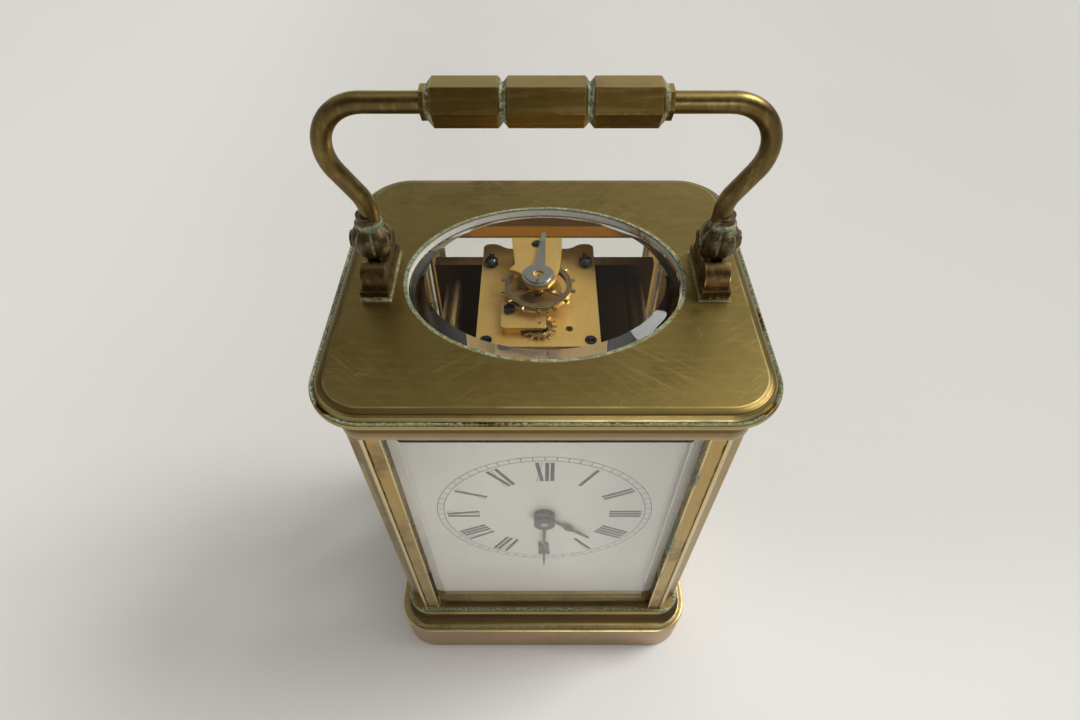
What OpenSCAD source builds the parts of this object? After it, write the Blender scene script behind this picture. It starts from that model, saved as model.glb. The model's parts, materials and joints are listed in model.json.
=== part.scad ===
// Brass carriage clock: glazed case with rounded corner pillars, folding handle,
// enamel dial and a spring-driven movement with a platform escapement.
// Millimetres. Origin: middle of the base's underside. X right, Y to the back, Z up.

/* [Case] */
// Width of the body over its pillars
body_w = 71.2; // [70:0.2:84]
// Depth of the body over its pillars
body_d = 59.6; // [59:0.2:70]
// Height from the table to the top of the cornice
case_h = 112; // [108:0.5:130]
// Height of the base up to the ledge that carries the pillars
base_h = 18.8; // [17.5:0.1:24]
// Height of the plain band at the foot of the base
band_h = 12.5; // [8:0.1:13]
// How far the base stands out past the body
base_overhang = 4; // [3.4:0.1:6]
// Corner radius of the base
base_corner_r = 9; // [7:0.1:12]
// Wall of the base round its hollow underside
base_wall = 6.5; // [5:0.1:9]
// Thickness of the deck that carries pillars and movement
base_deck = 3.6; // [3.4:0.1:6]

/* [Pillars] */
// Width of a pillar along each face of the body
pillar_leg = 7.6; // [7.2:0.1:9]
// Width of the flat beside the glass
pillar_flat = 2.9; // [2:0.1:3.4]
// Radius of the beads that edge the hollow corner
pillar_bead_r = 0.6; // [0.4:0.05:0.7]
// Thickness of a pillar's leg
pillar_t = 4.4; // [4.3:0.1:5]
// Radius of the tenon on top of a pillar
tenon_r = 1.5; // [1:0.1:1.8]
// Height of the tenon
tenon_h = 3; // [2:0.1:5]

/* [Cornice] */
// Height of the plain rail under the cornice moulding
frieze_h = 7.1; // [5:0.1:9]
// Wall of the rail
frieze_t = 2.6; // [2:0.1:3]
// Height of the moulded top plate
cornice_h = 3.5; // [3.3:0.1:5]
// How far the cornice stands out past the body
cornice_overhang = 3.5; // [3:0.1:5]
// Corner radius of the cornice
cornice_corner_r = 10; // [8:0.1:12]
// Corner radius of the body and its rail
body_corner_r = 4.6; // [4:0.1:6]
// Metal between the oval window and the body's sides
oval_side_margin = 9.8; // [9.2:0.1:13]
// Metal between the oval window and the body's front and back
oval_end_margin = 9; // [8.4:0.1:12]
// Width of the rebate that the oval glass lies in
oval_rebate = 1.3; // [1:0.1:1.6]
// Depth of metal left above that rebate
oval_lip = 1.7; // [1:0.1:2]

/* [Glass] */
// Thickness of the glass panes
glass_t = 2; // [1.6:0.1:2.4]
// Width of the bevel ground round each pane
glass_bevel = 2.5; // [1.5:0.1:4]
// Thickness left at the edge of a pane
glass_edge_t = 1.2; // [0.8:0.1:1.5]
// Depth of a pane behind the outer face of the body
glass_inset = 1.2; // [1:0.1:1.4]
// How far a pane reaches into its groove
glass_engage = 1.1; // [0.8:0.1:1.2]

/* [Handle] */
// Distance of the handle's feet in from the body's sides
foot_inset = 4.9; // [3.4:0.1:6]
// Width of a foot across the clock
foot_w = 5.1; // [4.5:0.1:6]
// Length of a foot from front to back
foot_d = 13.4; // [10:0.1:16]
// Height of the handle's pivot above the top plate
pivot_h = 8.8; // [8.2:0.1:11]
// Thickness of the foot's upright tongue
tongue_t = 2.2; // [1.6:0.1:2.6]
// Radius of the rounded top of the tongue
tongue_r = 2; // [1.7:0.1:2.4]
// Radius of the pivot pin
pivot_pin_r = 0.9; // [0.7:0.05:1.1]
// Radius of the ball of a knuckle
knuckle_r = 3.7; // [3.4:0.1:4.2]
// Radius of the bent rods
rod_r = 1.62; // [1.2:0.02:2]
// Height of the grip's centre line above the pivot
grip_rise = 25; // [22:0.5:40]
// Radius of the lower bend of a rod
bend_low_r = 6; // [4:0.5:8]
// Radius of the upper bend of a rod
bend_top_r = 7.5; // [6:0.1:8.5]
// Outward lean of a rod between its bends in degrees
rod_lean = 32; // [20:1:36]
// Length of the faceted grip
grip_l = 37; // [30:0.5:44]
// Width of the grip across its flats
grip_flats = 6.24; // [5:0.02:8]
// Length of the grip's middle segment
grip_mid = 12.7; // [8:0.1:16]
// Depth of the vee grooves between the grip's segments
grip_groove = 0.75; // [0.4:0.05:1]

/* [Dial and hands] */
// Distance of the dial's face behind the front glass
dial_gap = 3; // [3:0.1:3.6]
// Thickness of the dial
dial_t = 1.2; // [0.8:0.1:1.6]
// Distance of the dial's centre below the platform
dial_drop = 34.9; // [34.5:0.1:35.2]
// Radius of the hole in the dial
dial_hole_r = 2.1; // [2.05:0.05:2.3]
// Radius of the dial's feet
dial_foot_r = 1.3; // [1.1:0.1:2]
// Length of the minute hand from its centre
minute_l = 23.2; // [16:0.1:24]
// Length of the hour hand from its centre
hour_l = 14.6; // [10:0.1:16]
// Thickness of the hands
hand_t = 0.4; // [0.3:0.05:0.5]
// Hour shown on the dial
hour_shown = 4; // [0:1:11]
// Minute shown on the dial
minute_shown = 30; // [0:1:59]

/* [Movement] */
// Width of the movement plates
plate_w = 48; // [46:0.5:54]
// Thickness of the movement plates
plate_t = 2.6; // [2.2:0.1:3]
// Position of the front plate's front face
front_plate_y = -9.1; // [-9.4:0.1:-9.0]
// Position of the back plate's front face
back_plate_y = 16.2; // [16:0.1:17]
// Radius of the movement's pillars
spacer_r = 2; // [1.6:0.1:2.6]
// Distance from the platform to the top of the cornice
platform_drop = 11; // [10.6:0.1:11.4]
// Module of the barrel and centre pinion
barrel_module = 0.5; // [0.48:0.005:0.505]
// Module of the other spur wheels
train_module = 0.4; // [0.39:0.005:0.405]
// Outer radius of the spring barrel
barrel_r = 13.8; // [11:0.1:14]
// Outer length of the spring barrel
barrel_l = 12; // [8:0.1:13]
// Wall of the spring barrel
barrel_wall = 1.1; // [0.8:0.1:1.6]
// Across-flats size of the winding square
winding_square = 2.6; // [2.2:0.1:2.8]
// Thickness of the train wheels
wheel_t = 1; // [0.8:0.1:1.2]

/* [Platform] */
// Width of the platform
platform_w = 24.1; // [22:0.1:27]
// Thickness of the platform
platform_t = 1.6; // [1.2:0.1:2]
// Offset of the platform's centre line from the middle
platform_x = -1.3; // [-2:0.1:0]
// Position of the balance staff from front to back
balance_y = 4.2; // [4:0.1:4.5]
// Outer radius of the balance rim
balance_r = 6.75; // [6.6:0.05:6.9]
// Position of the escape arbor from front to back
escape_y = -4.65; // [-4.7:0.01:-4.6]
// Radius of the escape wheel over its teeth
escape_r = 3.5; // [3.3:0.05:3.6]
// Outer radius of the regulator's ring
index_r = 3.2; // [2.8:0.1:3.4]
// Length of the regulator's pointer from the staff
index_l = 13.4; // [11:0.1:14]
// Side lean of the pointer in degrees
index_lean = 5; // [0:1:8]
// Diameter of the hairspring's wire
hairspring_wire = 0.24; // [0.16:0.01:0.24]
// Distance from turn to turn of the hairspring
hairspring_pitch = 0.68; // [0.66:0.01:0.7]
// Number of turns of the hairspring
hairspring_turns = 5; // [4:1:5]

/* [Rear door] */
// Width of the door's frame bars
door_bar = 4; // [3:0.1:5]
// Thickness of the door
door_t = 2.2; // [2:0.1:2.4]
// Gap round the door
door_gap = 0.3; // [0.2:0.05:0.4]
// Radius of the door's knob
knob_r = 1.9; // [1.4:0.1:2.4]
// How far the knob stands out
knob_l = 3.6; // [2:0.1:3.8]

/* [Hidden] */
$fn = 64;

// Clearances
run_c = 0.04;      // shaft in its bearing
fit_c = 0.02;      // pieces fixed to each other
groove_c = 0.1;    // pane in its groove
side_c = 0.1;      // tongue in its slot
air_c = 0.3;       // pieces that pass without touching
eps = 0.5;         // overrun of cuts

// Colours of the finishes
case_brass = [0.55, 0.46, 0.23];
gilt_brass = [0.78, 0.62, 0.33];
wheel_brass = [0.72, 0.58, 0.27];
steel = [0.55, 0.57, 0.60];
blued = [0.10, 0.11, 0.16];
enamel = [0.93, 0.92, 0.88];
clear_glass = [0.80, 0.88, 0.86, 0.35];

// Case
body_x = body_w / 2;
body_y = body_d / 2;
base_w = body_w + 2 * base_overhang;
base_d = body_d + 2 * base_overhang;
plate_z = case_h - cornice_h;
rail_z = plate_z - frieze_h;
pillar_h = rail_z - base_h;
screw_pos = 4;                       // pillar screw from both outer faces
pane_w = body_w - 2 * (pillar_leg - glass_engage);
side_pane_w = body_d - 2 * (pillar_leg - glass_engage);
pane_h = pillar_h - groove_c;
oval_a = body_x - oval_side_margin;  // half-axes of the oval window
oval_b = body_y - oval_end_margin;

// Shapes
oval_sides = 120;

// Screws
pillar_screw_r = 1.2;
pillar_head_r = 2.2;
head_t = 1.4;
pillar_screw_l = 7;
plate_screw_r = 0.75;
plate_head_r = 1.6;
slot_w = 0.5;
slot_depth = 0.5;

// Handle
foot_x = body_x - foot_inset;
pivot_z = case_h + pivot_h;
grip_z = pivot_z + grip_rise;
plinth_h = 2;
saddle_r = 4;
knuckle_seat = 3.7;                  // knuckle's neck above the pivot
foot_shoulder_h = 6;
rod_x = foot_x - 0.5;
rod_start = pivot_z + knuckle_seat;
bend_z = pivot_z + 6.1;
low_end = [rod_x + bend_low_r * (1 - cos(rod_lean)), bend_z + bend_low_r * sin(rod_lean)];
lean_top_z = grip_z - bend_top_r * (1 + sin(rod_lean));
lean_l = (lean_top_z - low_end[1]) / cos(rod_lean);
top_end = [low_end[0] + lean_l * sin(rod_lean), lean_top_z];
bend_c = [top_end[0] - bend_top_r * cos(rod_lean), grip_z - bend_top_r];
grip_bore_l = 6;
pin_head_r = 1.5;
pin_head_t = 0.7;
cheek_x = 3.0;                       // flats that carry the pin's heads
foot_screw_r = 1.0;
foot_screw_head_r = 1.8;

// Movement heights
platform_top = case_h - platform_drop;
platform_under = platform_top - platform_t;
dial_z = platform_under - dial_drop;
dial_y = -body_y + glass_inset + glass_t + dial_gap;
dial_back = dial_y + dial_t;
dial_top = rail_z - 0.2;
dial_w = body_w - 2 * 5.6;
front_back = front_plate_y + plate_t;
back_back = back_plate_y + plate_t;
pivot_r = 0.4;

// Tooth counts
barrel_n = 60;
centre_pinion_n = 10;
centre_n = 60;
third_pinion_n = 8;
third_n = 54;
contrate_pinion_n = 8;
crown_n = 48;
escape_pinion_n = 7;
cannon_n = 10;
minute_n = 30;
minute_pinion_n = 8;
hour_n = 32;
ratchet_n = 24;
escape_n = 15;

// Wheel centres in the plane of the plates
centre_p = [0, dial_z];
barrel_gap = (barrel_n + centre_pinion_n) * barrel_module / 2;
barrel_x = -4;
barrel_p = [barrel_x, dial_z - sqrt(pow(barrel_gap, 2) - pow(barrel_x, 2))];
crown_pitch_r = 8.4;
crown_tooth_w = 1;
crown_module = 2 * crown_pitch_r / crown_n;
escape_pinion_r = escape_pinion_n * crown_module / 2;
escape_x = platform_x + 0.2;
crown_top_gap = 0.9;
contrate_p = [escape_x, platform_under - crown_top_gap - crown_pitch_r - crown_tooth_w / 2];
third_gap = (centre_n + third_pinion_n) * train_module / 2;
contrate_gap = (third_n + contrate_pinion_n) * train_module / 2;
third_p = meet(centre_p, third_gap, contrate_p, contrate_gap);
motion_gap = (cannon_n + minute_n) * train_module / 2;
minute_p = centre_p + motion_gap * [cos(-45), sin(-45)];

// Ratchet and click
ratchet_r = 5;
click_p = barrel_p + polar(9.4, 24);
click_y = back_back + 0.4;
click_t = 1.1;
spring_p = barrel_p + polar(15.5, 52);

// Layers from front to back
cannon_y = -11.6;
cannon_l = 1.8;
minute_wheel_y = -11.2;
hour_wheel_y = -13.7;
third_wheel_y = 4;
centre_pinion_y = 7.9;
centre_wheel_y = 11.2;
third_pinion_y = 10.9;
barrel_y = -4;
barrel_gear_t = 1.5;
cap_t = 1;
winding_r = 1.9;
barrel_gear_y = barrel_y + barrel_l - 0.2;
crown_y = escape_y + escape_pinion_r;

// Teeth: half widths at root, pitch and tip as shares of a quarter pitch, then heights in modules
wheel_tooth = [0.80, 0.72, 0.30, 0.95, 1.25];
pinion_tooth = [0.55, 0.62, 0.30, 0.80, 1.25];

// Phases of the teeth, as the angle of one tooth seen from the front
barrel_ph = 90;
centre_pinion_ph = mate(barrel_p, centre_p, barrel_ph, barrel_n, centre_pinion_n);
centre_ph = 0;
third_pinion_ph = mate(centre_p, third_p, centre_ph, centre_n, third_pinion_n);
third_ph = 0;
contrate_pinion_ph = mate(third_p, contrate_p, third_ph, third_n, contrate_pinion_n);
cannon_ph = 0;
minute_ph = mate(centre_p, minute_p, cannon_ph, cannon_n, minute_n);
minute_pinion_ph = 0;
hour_ph = mate(minute_p, centre_p, minute_pinion_ph, minute_pinion_n, hour_n);

// Hands
hour_angle = 90 - 30 * (hour_shown + minute_shown / 60);
minute_angle = 90 - 6 * minute_shown;
hub_r = 2.35;
hub_l = 1.2;                         // length of each hand's hub
hour_hub_y = dial_y - 0.2 - hub_l;
minute_hub_y = hour_hub_y - side_c - hub_l;
hour_hand_y = hour_hub_y + hub_l / 3;
minute_hand_y = minute_hub_y + hub_l / 2;
hour_pipe_in = 1.25;
hour_pipe_out = 1.7;
arbor_r = 0.75;
cannon_out = 1.15;
stud_r = 0.7;

// Platform parts
escape_wheel_z = platform_top + 0.5;
escape_wheel_t = 0.3;
cock_h = 1.8;
lever_z = platform_top + 0.9;
lever_t = 0.3;
lever_y = -0.1;
balance_z = platform_top + 3.1;
balance_arm_t = 0.4;
rim_w = 1.1;
rim_h = 1;
staff_r = 0.35;
collet_r = 0.95;
roller_r = 0.9;
cock_under = platform_top + 4.6;
cock_top = platform_top + 5.6;
cock_foot_y = balance_y + 8.2;
cock_back = balance_y + 12.2;
platform_back = 19.6;
ear_back = 21.2;
ear_w = 4.6;
hairspring_z = platform_top + 2.3;
hairspring_out_r = collet_r + air_c + hairspring_wire / 2 + hairspring_turns * hairspring_pitch;
hairspring_end = 139;
rings_per_turn = 24;
index_z = cock_top + 0.1;
index_t = 0.5;
boss_r = 1;
platform_screw_x = 10.1;
lug_d = 3;
steady_r = 0.5;
steady_h = 2.4;
cock_screw_places = [[platform_x - 5.7, -1.2], [platform_x - 0.3, cock_back - 2]];
cock_head_r = 1.1;
cock_sink = 1.1;
sunk_head_r = 1.1;
sunk_head_t = 0.9;

// Door
door_half = body_x - pillar_leg - air_c;
door_y = body_y - door_t - 0.2;
door_axis_x = -door_half + door_t / 2;
door_axis_y = door_y + door_t / 2;
door_h = pillar_h - 2 * door_gap;
door_pin_r = 0.6;
door_pin_l = 2.4;
knob_x = door_half - door_bar / 2;
rear_glass_t = 1.4;

// Point where circles round a and b meet, on the right of the line from a to b
function meet(a, ra, b, rb) = let (d = norm(b - a), u = (b - a) / d,
    t = (d * d + ra * ra - rb * rb) / (2 * d), h = sqrt(ra * ra - t * t))
    a + t * u + h * [u[1], -u[0]];
function angle_to(a, b) = atan2(b[1] - a[1], b[0] - a[0]);
// Angle of a tooth on wheel b that puts its gap over the teeth of wheel a
function mate(a, b, phase, na, nb) = let (line = angle_to(a, b))
    line + 180 + 180 / nb + (line - phase) * na / nb;
function polar(r, a) = [r * cos(a), r * sin(a)];
function arc(c, r, a0, a1, n) = [for (i = [0:n]) c + polar(r, a0 + (a1 - a0) * i / n)];
function ring(a, b, n) = [for (i = [0:n - 1]) [a * cos(360 * i / n), b * sin(360 * i / n)]];
function tooth_points(n, m, shape) = let (r = n * m / 2, q = 90 / n)
    [for (i = [0:n - 1]) let (a = 360 * i / n) each [
        polar(r - shape[4] * m, a - q * shape[0]), polar(r, a - q * shape[1]),
        polar(r + shape[3] * m, a - q * shape[2]), polar(r + shape[3] * m, a + q * shape[2]),
        polar(r, a + q * shape[1]), polar(r - shape[4] * m, a + q * shape[0])]];

// Upright helpers: a shape drawn in X and Z, running back from y
module back_from(y, l) { translate([0, y + l, 0]) rotate([90, 0, 0]) linear_extrude(l) children(); }
module rod_y(p, y, l, r) { translate([p[0], y + l, p[1]]) rotate([90, 0, 0]) cylinder(h = l, r = r); }
module gear_y(p, y, t, n, m, shape, phase) {
    back_from(y, t) translate(p) rotate(phase) polygon(tooth_points(n, m, shape));
}
module slotted_screw(head_r, shank_r, shank_l, t = head_t) {
    difference() {
        cylinder(h = t, r = head_r);
        translate([-head_r - eps, -slot_w / 2, t - slot_depth])
            cube([2 * (head_r + eps), slot_w, slot_depth + eps]);
    }
    translate([0, 0, -shank_l]) cylinder(h = shank_l, r = shank_r);
}

// The same with a rounded head
module domed_screw(head_r, shank_r, shank_l, t) {
    difference() {
        rotate_extrude() polygon(concat([[0, -shank_l], [shank_r, -shank_l], [shank_r, 0], [head_r, 0]],
            [for (a = [0:15:90]) [head_r * cos(a), 0.4 * t + 0.6 * t * sin(a)]]));
        translate([-head_r - eps, -slot_w / 2, t - slot_depth])
            cube([2 * (head_r + eps), slot_w, slot_depth + eps]);
    }
}

// Slab with rounded corners; the profile's x is measured outwards from the outline
module moulded_slab(w, d, r, profile) {
    z0 = profile[0][1];
    z1 = profile[len(profile) - 1][1];
    outline = concat([[-r, z0]], profile, [[-r, z1]]);
    for (k = [0:3]) {
        half_x = (k % 2 == 0 ? w : d) / 2;
        half_y = (k % 2 == 0 ? d : w) / 2;
        rotate([0, 0, 90 * k]) {
            translate([half_x - r, half_y - r, 0]) rotate_extrude(angle = 90)
                translate([r, 0]) polygon(outline);
            translate([half_x, half_y - r, 0]) rotate([90, 0, 0])
                linear_extrude(2 * (half_y - r)) polygon(outline);
        }
    }
    translate([r - w / 2, r - d / 2, z0]) cube([w - 2 * r, d - 2 * r, z1 - z0]);
}
module rounded_box(w, d, h, r) {
    x = w / 2 - r;
    y = d / 2 - r;
    linear_extrude(h) polygon(concat(arc([x, y], r, 0, 90, 12), arc([-x, y], r, 90, 180, 12),
        arc([-x, -y], r, 180, 270, 12), arc([x, -y], r, 270, 360, 12)));
}
module at_corners(dx, dy) { for (sx = [-1, 1], sy = [-1, 1]) translate([sx * dx, sy * dy, 0]) children(); }

// ---- Case ----
module base_plinth() {
    cove_in = base_overhang - 0.9;
    lip_z = base_h - 1.5;
    band_r = 0.5;
    profile = concat([[-0.4, 0]], [[0, 0.4]],
        arc([-band_r, band_h - band_r], band_r, 0, 90, 3), [[-1.2, band_h + 0.3]],
        [for (i = [1:7]) let (t = 90 * i / 7)
            [-cove_in + (cove_in - 1.2) * (1 - sin(t)), lip_z - (lip_z - band_h - 0.3) * cos(t)]],
        [[0.25 - cove_in, lip_z + 0.2], [0.25 - cove_in, base_h - 0.5], [-cove_in, base_h - 0.1],
         [-cove_in - 0.2, base_h]]);
    color(case_brass) difference() {
        moulded_slab(base_w, base_d, base_corner_r, profile);
        translate([0, 0, -eps]) rounded_box(base_w - 2 * base_wall, base_d - 2 * base_wall,
            base_h - base_deck + eps, base_corner_r - 4);
        at_corners(body_x - screw_pos, body_y - screw_pos)
            cylinder(h = base_h + eps, r = pillar_screw_r + side_c);
        at_corners(body_x - screw_pos, body_y - screw_pos) translate([0, 0, -eps])
            cylinder(h = base_h - base_deck + eps, r = pillar_head_r + air_c);
        movement_screw_places() translate([0, 0, base_h - base_deck - eps])
            cylinder(h = base_deck + 2 * eps, r = plate_screw_r + side_c);
        translate([door_axis_x, door_axis_y, base_h - door_pin_l])
            cylinder(h = door_pin_l + eps, r = door_pin_r + run_c);
    }
}
module movement_screw_places() {
    for (sx = [-1, 1], y = [front_plate_y, back_plate_y])
        translate([sx * (plate_w / 2 - 8), y + plate_t / 2, 0]) children();
}

// Corner pillar seen from above, with the outer corner of the body at its own origin
module pillar_section(grooved_front, grooved_side) {
    b = pillar_leg - pillar_flat - 0.1 - pillar_bead_r;
    front = concat([[pillar_leg, 0], [pillar_leg - pillar_flat, 0], [pillar_leg - pillar_flat, 0.35],
        [b + pillar_bead_r, 0.35]], arc([b, pillar_bead_r], pillar_bead_r, -25, -180, 7));
    hollow = [for (i = [0:6]) let (t = i / 6) [(b - pillar_bead_r) * (1 - t) + 0.95 * t,
        0.95 * (1 - t) + (b - pillar_bead_r) * t] + 0.35 * sin(180 * t) * [1, 1]];
    side = [for (i = [len(front) - 1:-1:0]) [front[i][1], front[i][0]]];
    groove = glass_edge_t + 2 * groove_c;
    gy = glass_inset + glass_t - glass_edge_t - groove_c;
    gx = pillar_leg - glass_engage - groove_c;
    difference() {
        polygon(concat(front, hollow, side, [[pillar_t, pillar_leg], [pillar_t, pillar_leg - 0.6],
            [pillar_leg - 0.6, pillar_t], [pillar_leg, pillar_t]]));
        if (grooved_front) translate([gx, gy]) square([pillar_leg, groove]);
        if (grooved_side) translate([gy, gx]) square([groove, pillar_leg]);
    }
}
module corner_pillar(sx, sy) {
    color(case_brass) difference() {
        union() {
            translate([sx * body_x, sy * body_y, base_h]) mirror([sx > 0 ? 1 : 0, 0, 0])
                mirror([0, sy > 0 ? 1 : 0, 0]) linear_extrude(pillar_h) pillar_section(sy < 0, true);
            translate([sx * (body_x - screw_pos), sy * (body_y - screw_pos), rail_z - eps])
                cylinder(h = tenon_h + eps, r = tenon_r);
        }
        translate([sx * (body_x - screw_pos), sy * (body_y - screw_pos), base_h - eps])
            cylinder(h = pillar_screw_l - base_deck + 2 * eps, r = pillar_screw_r + fit_c);
    }
}
module pillar_front_left() { corner_pillar(-1, -1); }
module pillar_front_right() { corner_pillar(1, -1); }
module pillar_rear_left() { corner_pillar(-1, 1); }
module pillar_rear_right() { corner_pillar(1, 1); }

module oval(a, b, h) { scale([a, b, 1]) cylinder(h = h, r = 1, $fn = oval_sides); }
module top_cornice() {
    top_in = cornice_overhang - 0.7;
    roll_z = case_h - 1.55;
    profile = concat([[-cornice_overhang - 0.6, plate_z], [-2.6, plate_z + 0.15], [-0.7, plate_z + 0.5]],
        arc([-0.45, plate_z + 1.2], 0.45, -50, 0, 2), arc([-0.45, roll_z - 0.1], 0.45, 0, 60, 2),
        [[-0.75, roll_z + 0.02], [-0.8, roll_z + 0.2]],
        [for (i = [1:7]) let (t = 90 * i / 7)
            [-top_in + (top_in - 0.95) * cos(t), roll_z + 0.2 + (case_h - roll_z - 0.2) * sin(t)]]);
    color(case_brass) difference() {
        union() {
            moulded_slab(body_w + 2 * cornice_overhang, body_d + 2 * cornice_overhang,
                cornice_corner_r, profile);
            translate([0, 0, rail_z]) rounded_box(body_w, body_d, frieze_h + eps, body_corner_r);
        }
        difference() {
            translate([0, 0, rail_z - eps]) rounded_box(body_w - 2 * frieze_t, body_d - 2 * frieze_t,
                frieze_h + eps, body_corner_r - frieze_t);
            at_corners(body_x - screw_pos, body_y - screw_pos) translate([0, 0, rail_z - 2 * eps])
                cylinder(h = frieze_h + 3 * eps, r = tenon_r + 1);
        }
        translate([0, 0, plate_z - eps]) linear_extrude(cornice_h + 2 * eps)
            polygon(ring(oval_a, oval_b, oval_sides));
        translate([0, 0, plate_z - eps]) linear_extrude(cornice_h - oval_lip + eps)
            polygon(ring(oval_a + oval_rebate, oval_b + oval_rebate, oval_sides));
        at_corners(body_x - screw_pos, body_y - screw_pos) translate([0, 0, rail_z - eps])
            cylinder(h = tenon_h + side_c + eps, r = tenon_r + fit_c);
        for (sx = [-1, 1]) translate([sx * foot_x, 0, plate_z - eps])
            cylinder(h = cornice_h + 2 * eps, r = foot_screw_r + side_c);
        translate([door_axis_x, door_axis_y, rail_z - eps])
            cylinder(h = door_pin_l + eps, r = door_pin_r + run_c);
    }
}

// Bevelled pane standing on edge, bevels on its front face, which is at y = 0
module pane(w, h) {
    d = glass_t - glass_edge_t;
    intersection() {
        linear_extrude(h) polygon([[-w / 2, glass_t], [-w / 2, d], [-w / 2 + glass_engage, d],
            [-w / 2 + glass_engage + glass_bevel, 0], [w / 2 - glass_engage - glass_bevel, 0],
            [w / 2 - glass_engage, d], [w / 2, d], [w / 2, glass_t]]);
        translate([-w / 2, 0, 0]) rotate([90, 0, 90]) linear_extrude(w) polygon([[glass_t, 0],
            [d, 0], [0, glass_bevel], [0, h - glass_bevel], [d, h], [glass_t, h]]);
    }
}
module front_glass() {
    color(clear_glass) translate([0, -body_y + glass_inset, base_h]) pane(pane_w, pane_h);
}
module left_glass() {
    color(clear_glass) translate([-body_x + glass_inset, 0, base_h]) rotate([0, 0, -90])
        pane(side_pane_w, pane_h);
}
module right_glass() {
    color(clear_glass) translate([body_x - glass_inset, 0, base_h]) rotate([0, 0, 90])
        pane(side_pane_w, pane_h);
}
module top_glass() {
    seat = plate_z + cornice_h - oval_lip;
    edge = oval_rebate - groove_c;
    color(clear_glass) union() {
        translate([0, 0, seat - glass_edge_t]) oval(oval_a + edge, oval_b + edge, glass_edge_t - fit_c);
        translate([0, 0, seat - 0.2]) intersection() {
            oval(oval_a - groove_c, oval_b - groove_c, 1.5);
            scale([oval_a / oval_b, 1, 1]) cylinder(h = 1.5, r1 = oval_b,
                r2 = oval_b - glass_bevel, $fn = oval_sides);
        }
    }
}
module pillar_screws() {
    color(blued) at_corners(body_x - screw_pos, body_y - screw_pos)
        translate([0, 0, base_h - base_deck]) mirror([0, 0, 1])
            slotted_screw(pillar_head_r, pillar_screw_r, pillar_screw_l);
}
module movement_screws() {
    color(blued) movement_screw_places() translate([0, 0, base_h - base_deck]) mirror([0, 0, 1])
        slotted_screw(plate_head_r, plate_screw_r, pillar_screw_l);
}

// ---- Handle ----
module foot(sx) {
    color(case_brass) translate([sx * foot_x, 0, case_h]) difference() {
        union() {
            translate([-foot_w / 2, -foot_d / 2, 0]) cube([foot_w, foot_d, plinth_h]);
            translate([-foot_w / 2 + 0.3, 0, plinth_h]) rotate([90, 0, 90])
                linear_extrude(foot_w - 0.6) difference() {
                    union() for (s = [-1, 1]) intersection() {
                        translate([s * 1.9, 0]) circle(r = foot_shoulder_h - plinth_h);
                        translate([-foot_d, 0]) square([2 * foot_d, foot_d]);
                    }
                    translate([0, pivot_h - plinth_h]) circle(r = saddle_r + air_c);
                }
            translate([-tongue_t / 2, 0, 0]) rotate([90, 0, 90]) linear_extrude(tongue_t) union() {
                translate([-tongue_r, plinth_h - eps]) square([2 * tongue_r, pivot_h - plinth_h + eps]);
                translate([0, pivot_h]) circle(r = tongue_r);
            }
        }
        translate([-foot_w, 0, pivot_h]) rotate([0, 90, 0]) cylinder(h = 2 * foot_w, r = pivot_pin_r + run_c);
        translate([0, 0, -eps]) cylinder(h = 5 + eps, r = foot_screw_r + fit_c);
    }
}
module handle_foot_left() { foot(-1); }
module handle_foot_right() { foot(1); }
module foot_screws() {
    color(blued) for (sx = [-1, 1]) translate([sx * foot_x, 0, plate_z]) mirror([0, 0, 1])
        slotted_screw(foot_screw_head_r, foot_screw_r, cornice_h + 4.4);
}

// Vase-shaped knuckle, slotted below and behind for the tongue
module knuckle(sx) {
    neck_r = 2.0;
    ring_r = 2.45;
    profile = concat([[0, -knuckle_r + 0.25]],
        [for (i = [1:14]) let (a = -82 + 10 * i) [knuckle_r * cos(a), knuckle_r * sin(a)]],
        arc([neck_r, knuckle_seat - 0.2], ring_r - neck_r, -80, 80, 5),
        [[rod_r + 0.3, knuckle_seat + 0.9], [rod_r + 0.3, knuckle_seat + 1.6], [0, knuckle_seat + 1.6]]);
    color(case_brass) translate([sx * foot_x, 0, pivot_z]) difference() {
        rotate_extrude() polygon(profile);
        translate([-tongue_t / 2 - side_c, 0, 0]) rotate([90, 0, 90])
            linear_extrude(tongue_t + 2 * side_c) union() {
                circle(r = tongue_r + side_c);
                translate([-tongue_r - side_c, -3 * tongue_r]) square([3 * tongue_r, 3 * tongue_r]);
                translate([0, -3 * tongue_r]) square([4 * tongue_r, 4 * tongue_r + side_c]);
            }
        translate([-2 * knuckle_r, 0, 0]) rotate([0, 90, 0])
            cylinder(h = 4 * knuckle_r, r = pivot_pin_r + fit_c);
        for (s = [-1, 1]) translate([s > 0 ? cheek_x : -cheek_x - knuckle_r, 0, 0]) rotate([0, 90, 0])
            cylinder(h = knuckle_r, r = pin_head_r + side_c);
        translate([sx * (rod_x - foot_x), 0, knuckle_seat]) cylinder(h = 4, r = rod_r + fit_c);
    }
}
module handle_knuckle_left() { knuckle(-1); }
module handle_knuckle_right() { knuckle(1); }
module handle_pins() {
    color(case_brass) for (sx = [-1, 1]) translate([sx * foot_x, 0, pivot_z]) rotate([0, 90, 0]) {
        translate([0, 0, -cheek_x]) cylinder(h = 2 * cheek_x, r = pivot_pin_r);
        for (s = [-1, 1]) translate([0, 0, s > 0 ? cheek_x : -cheek_x - pin_head_t])
            cylinder(h = pin_head_t, r = pin_head_r);
    }
}
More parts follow.
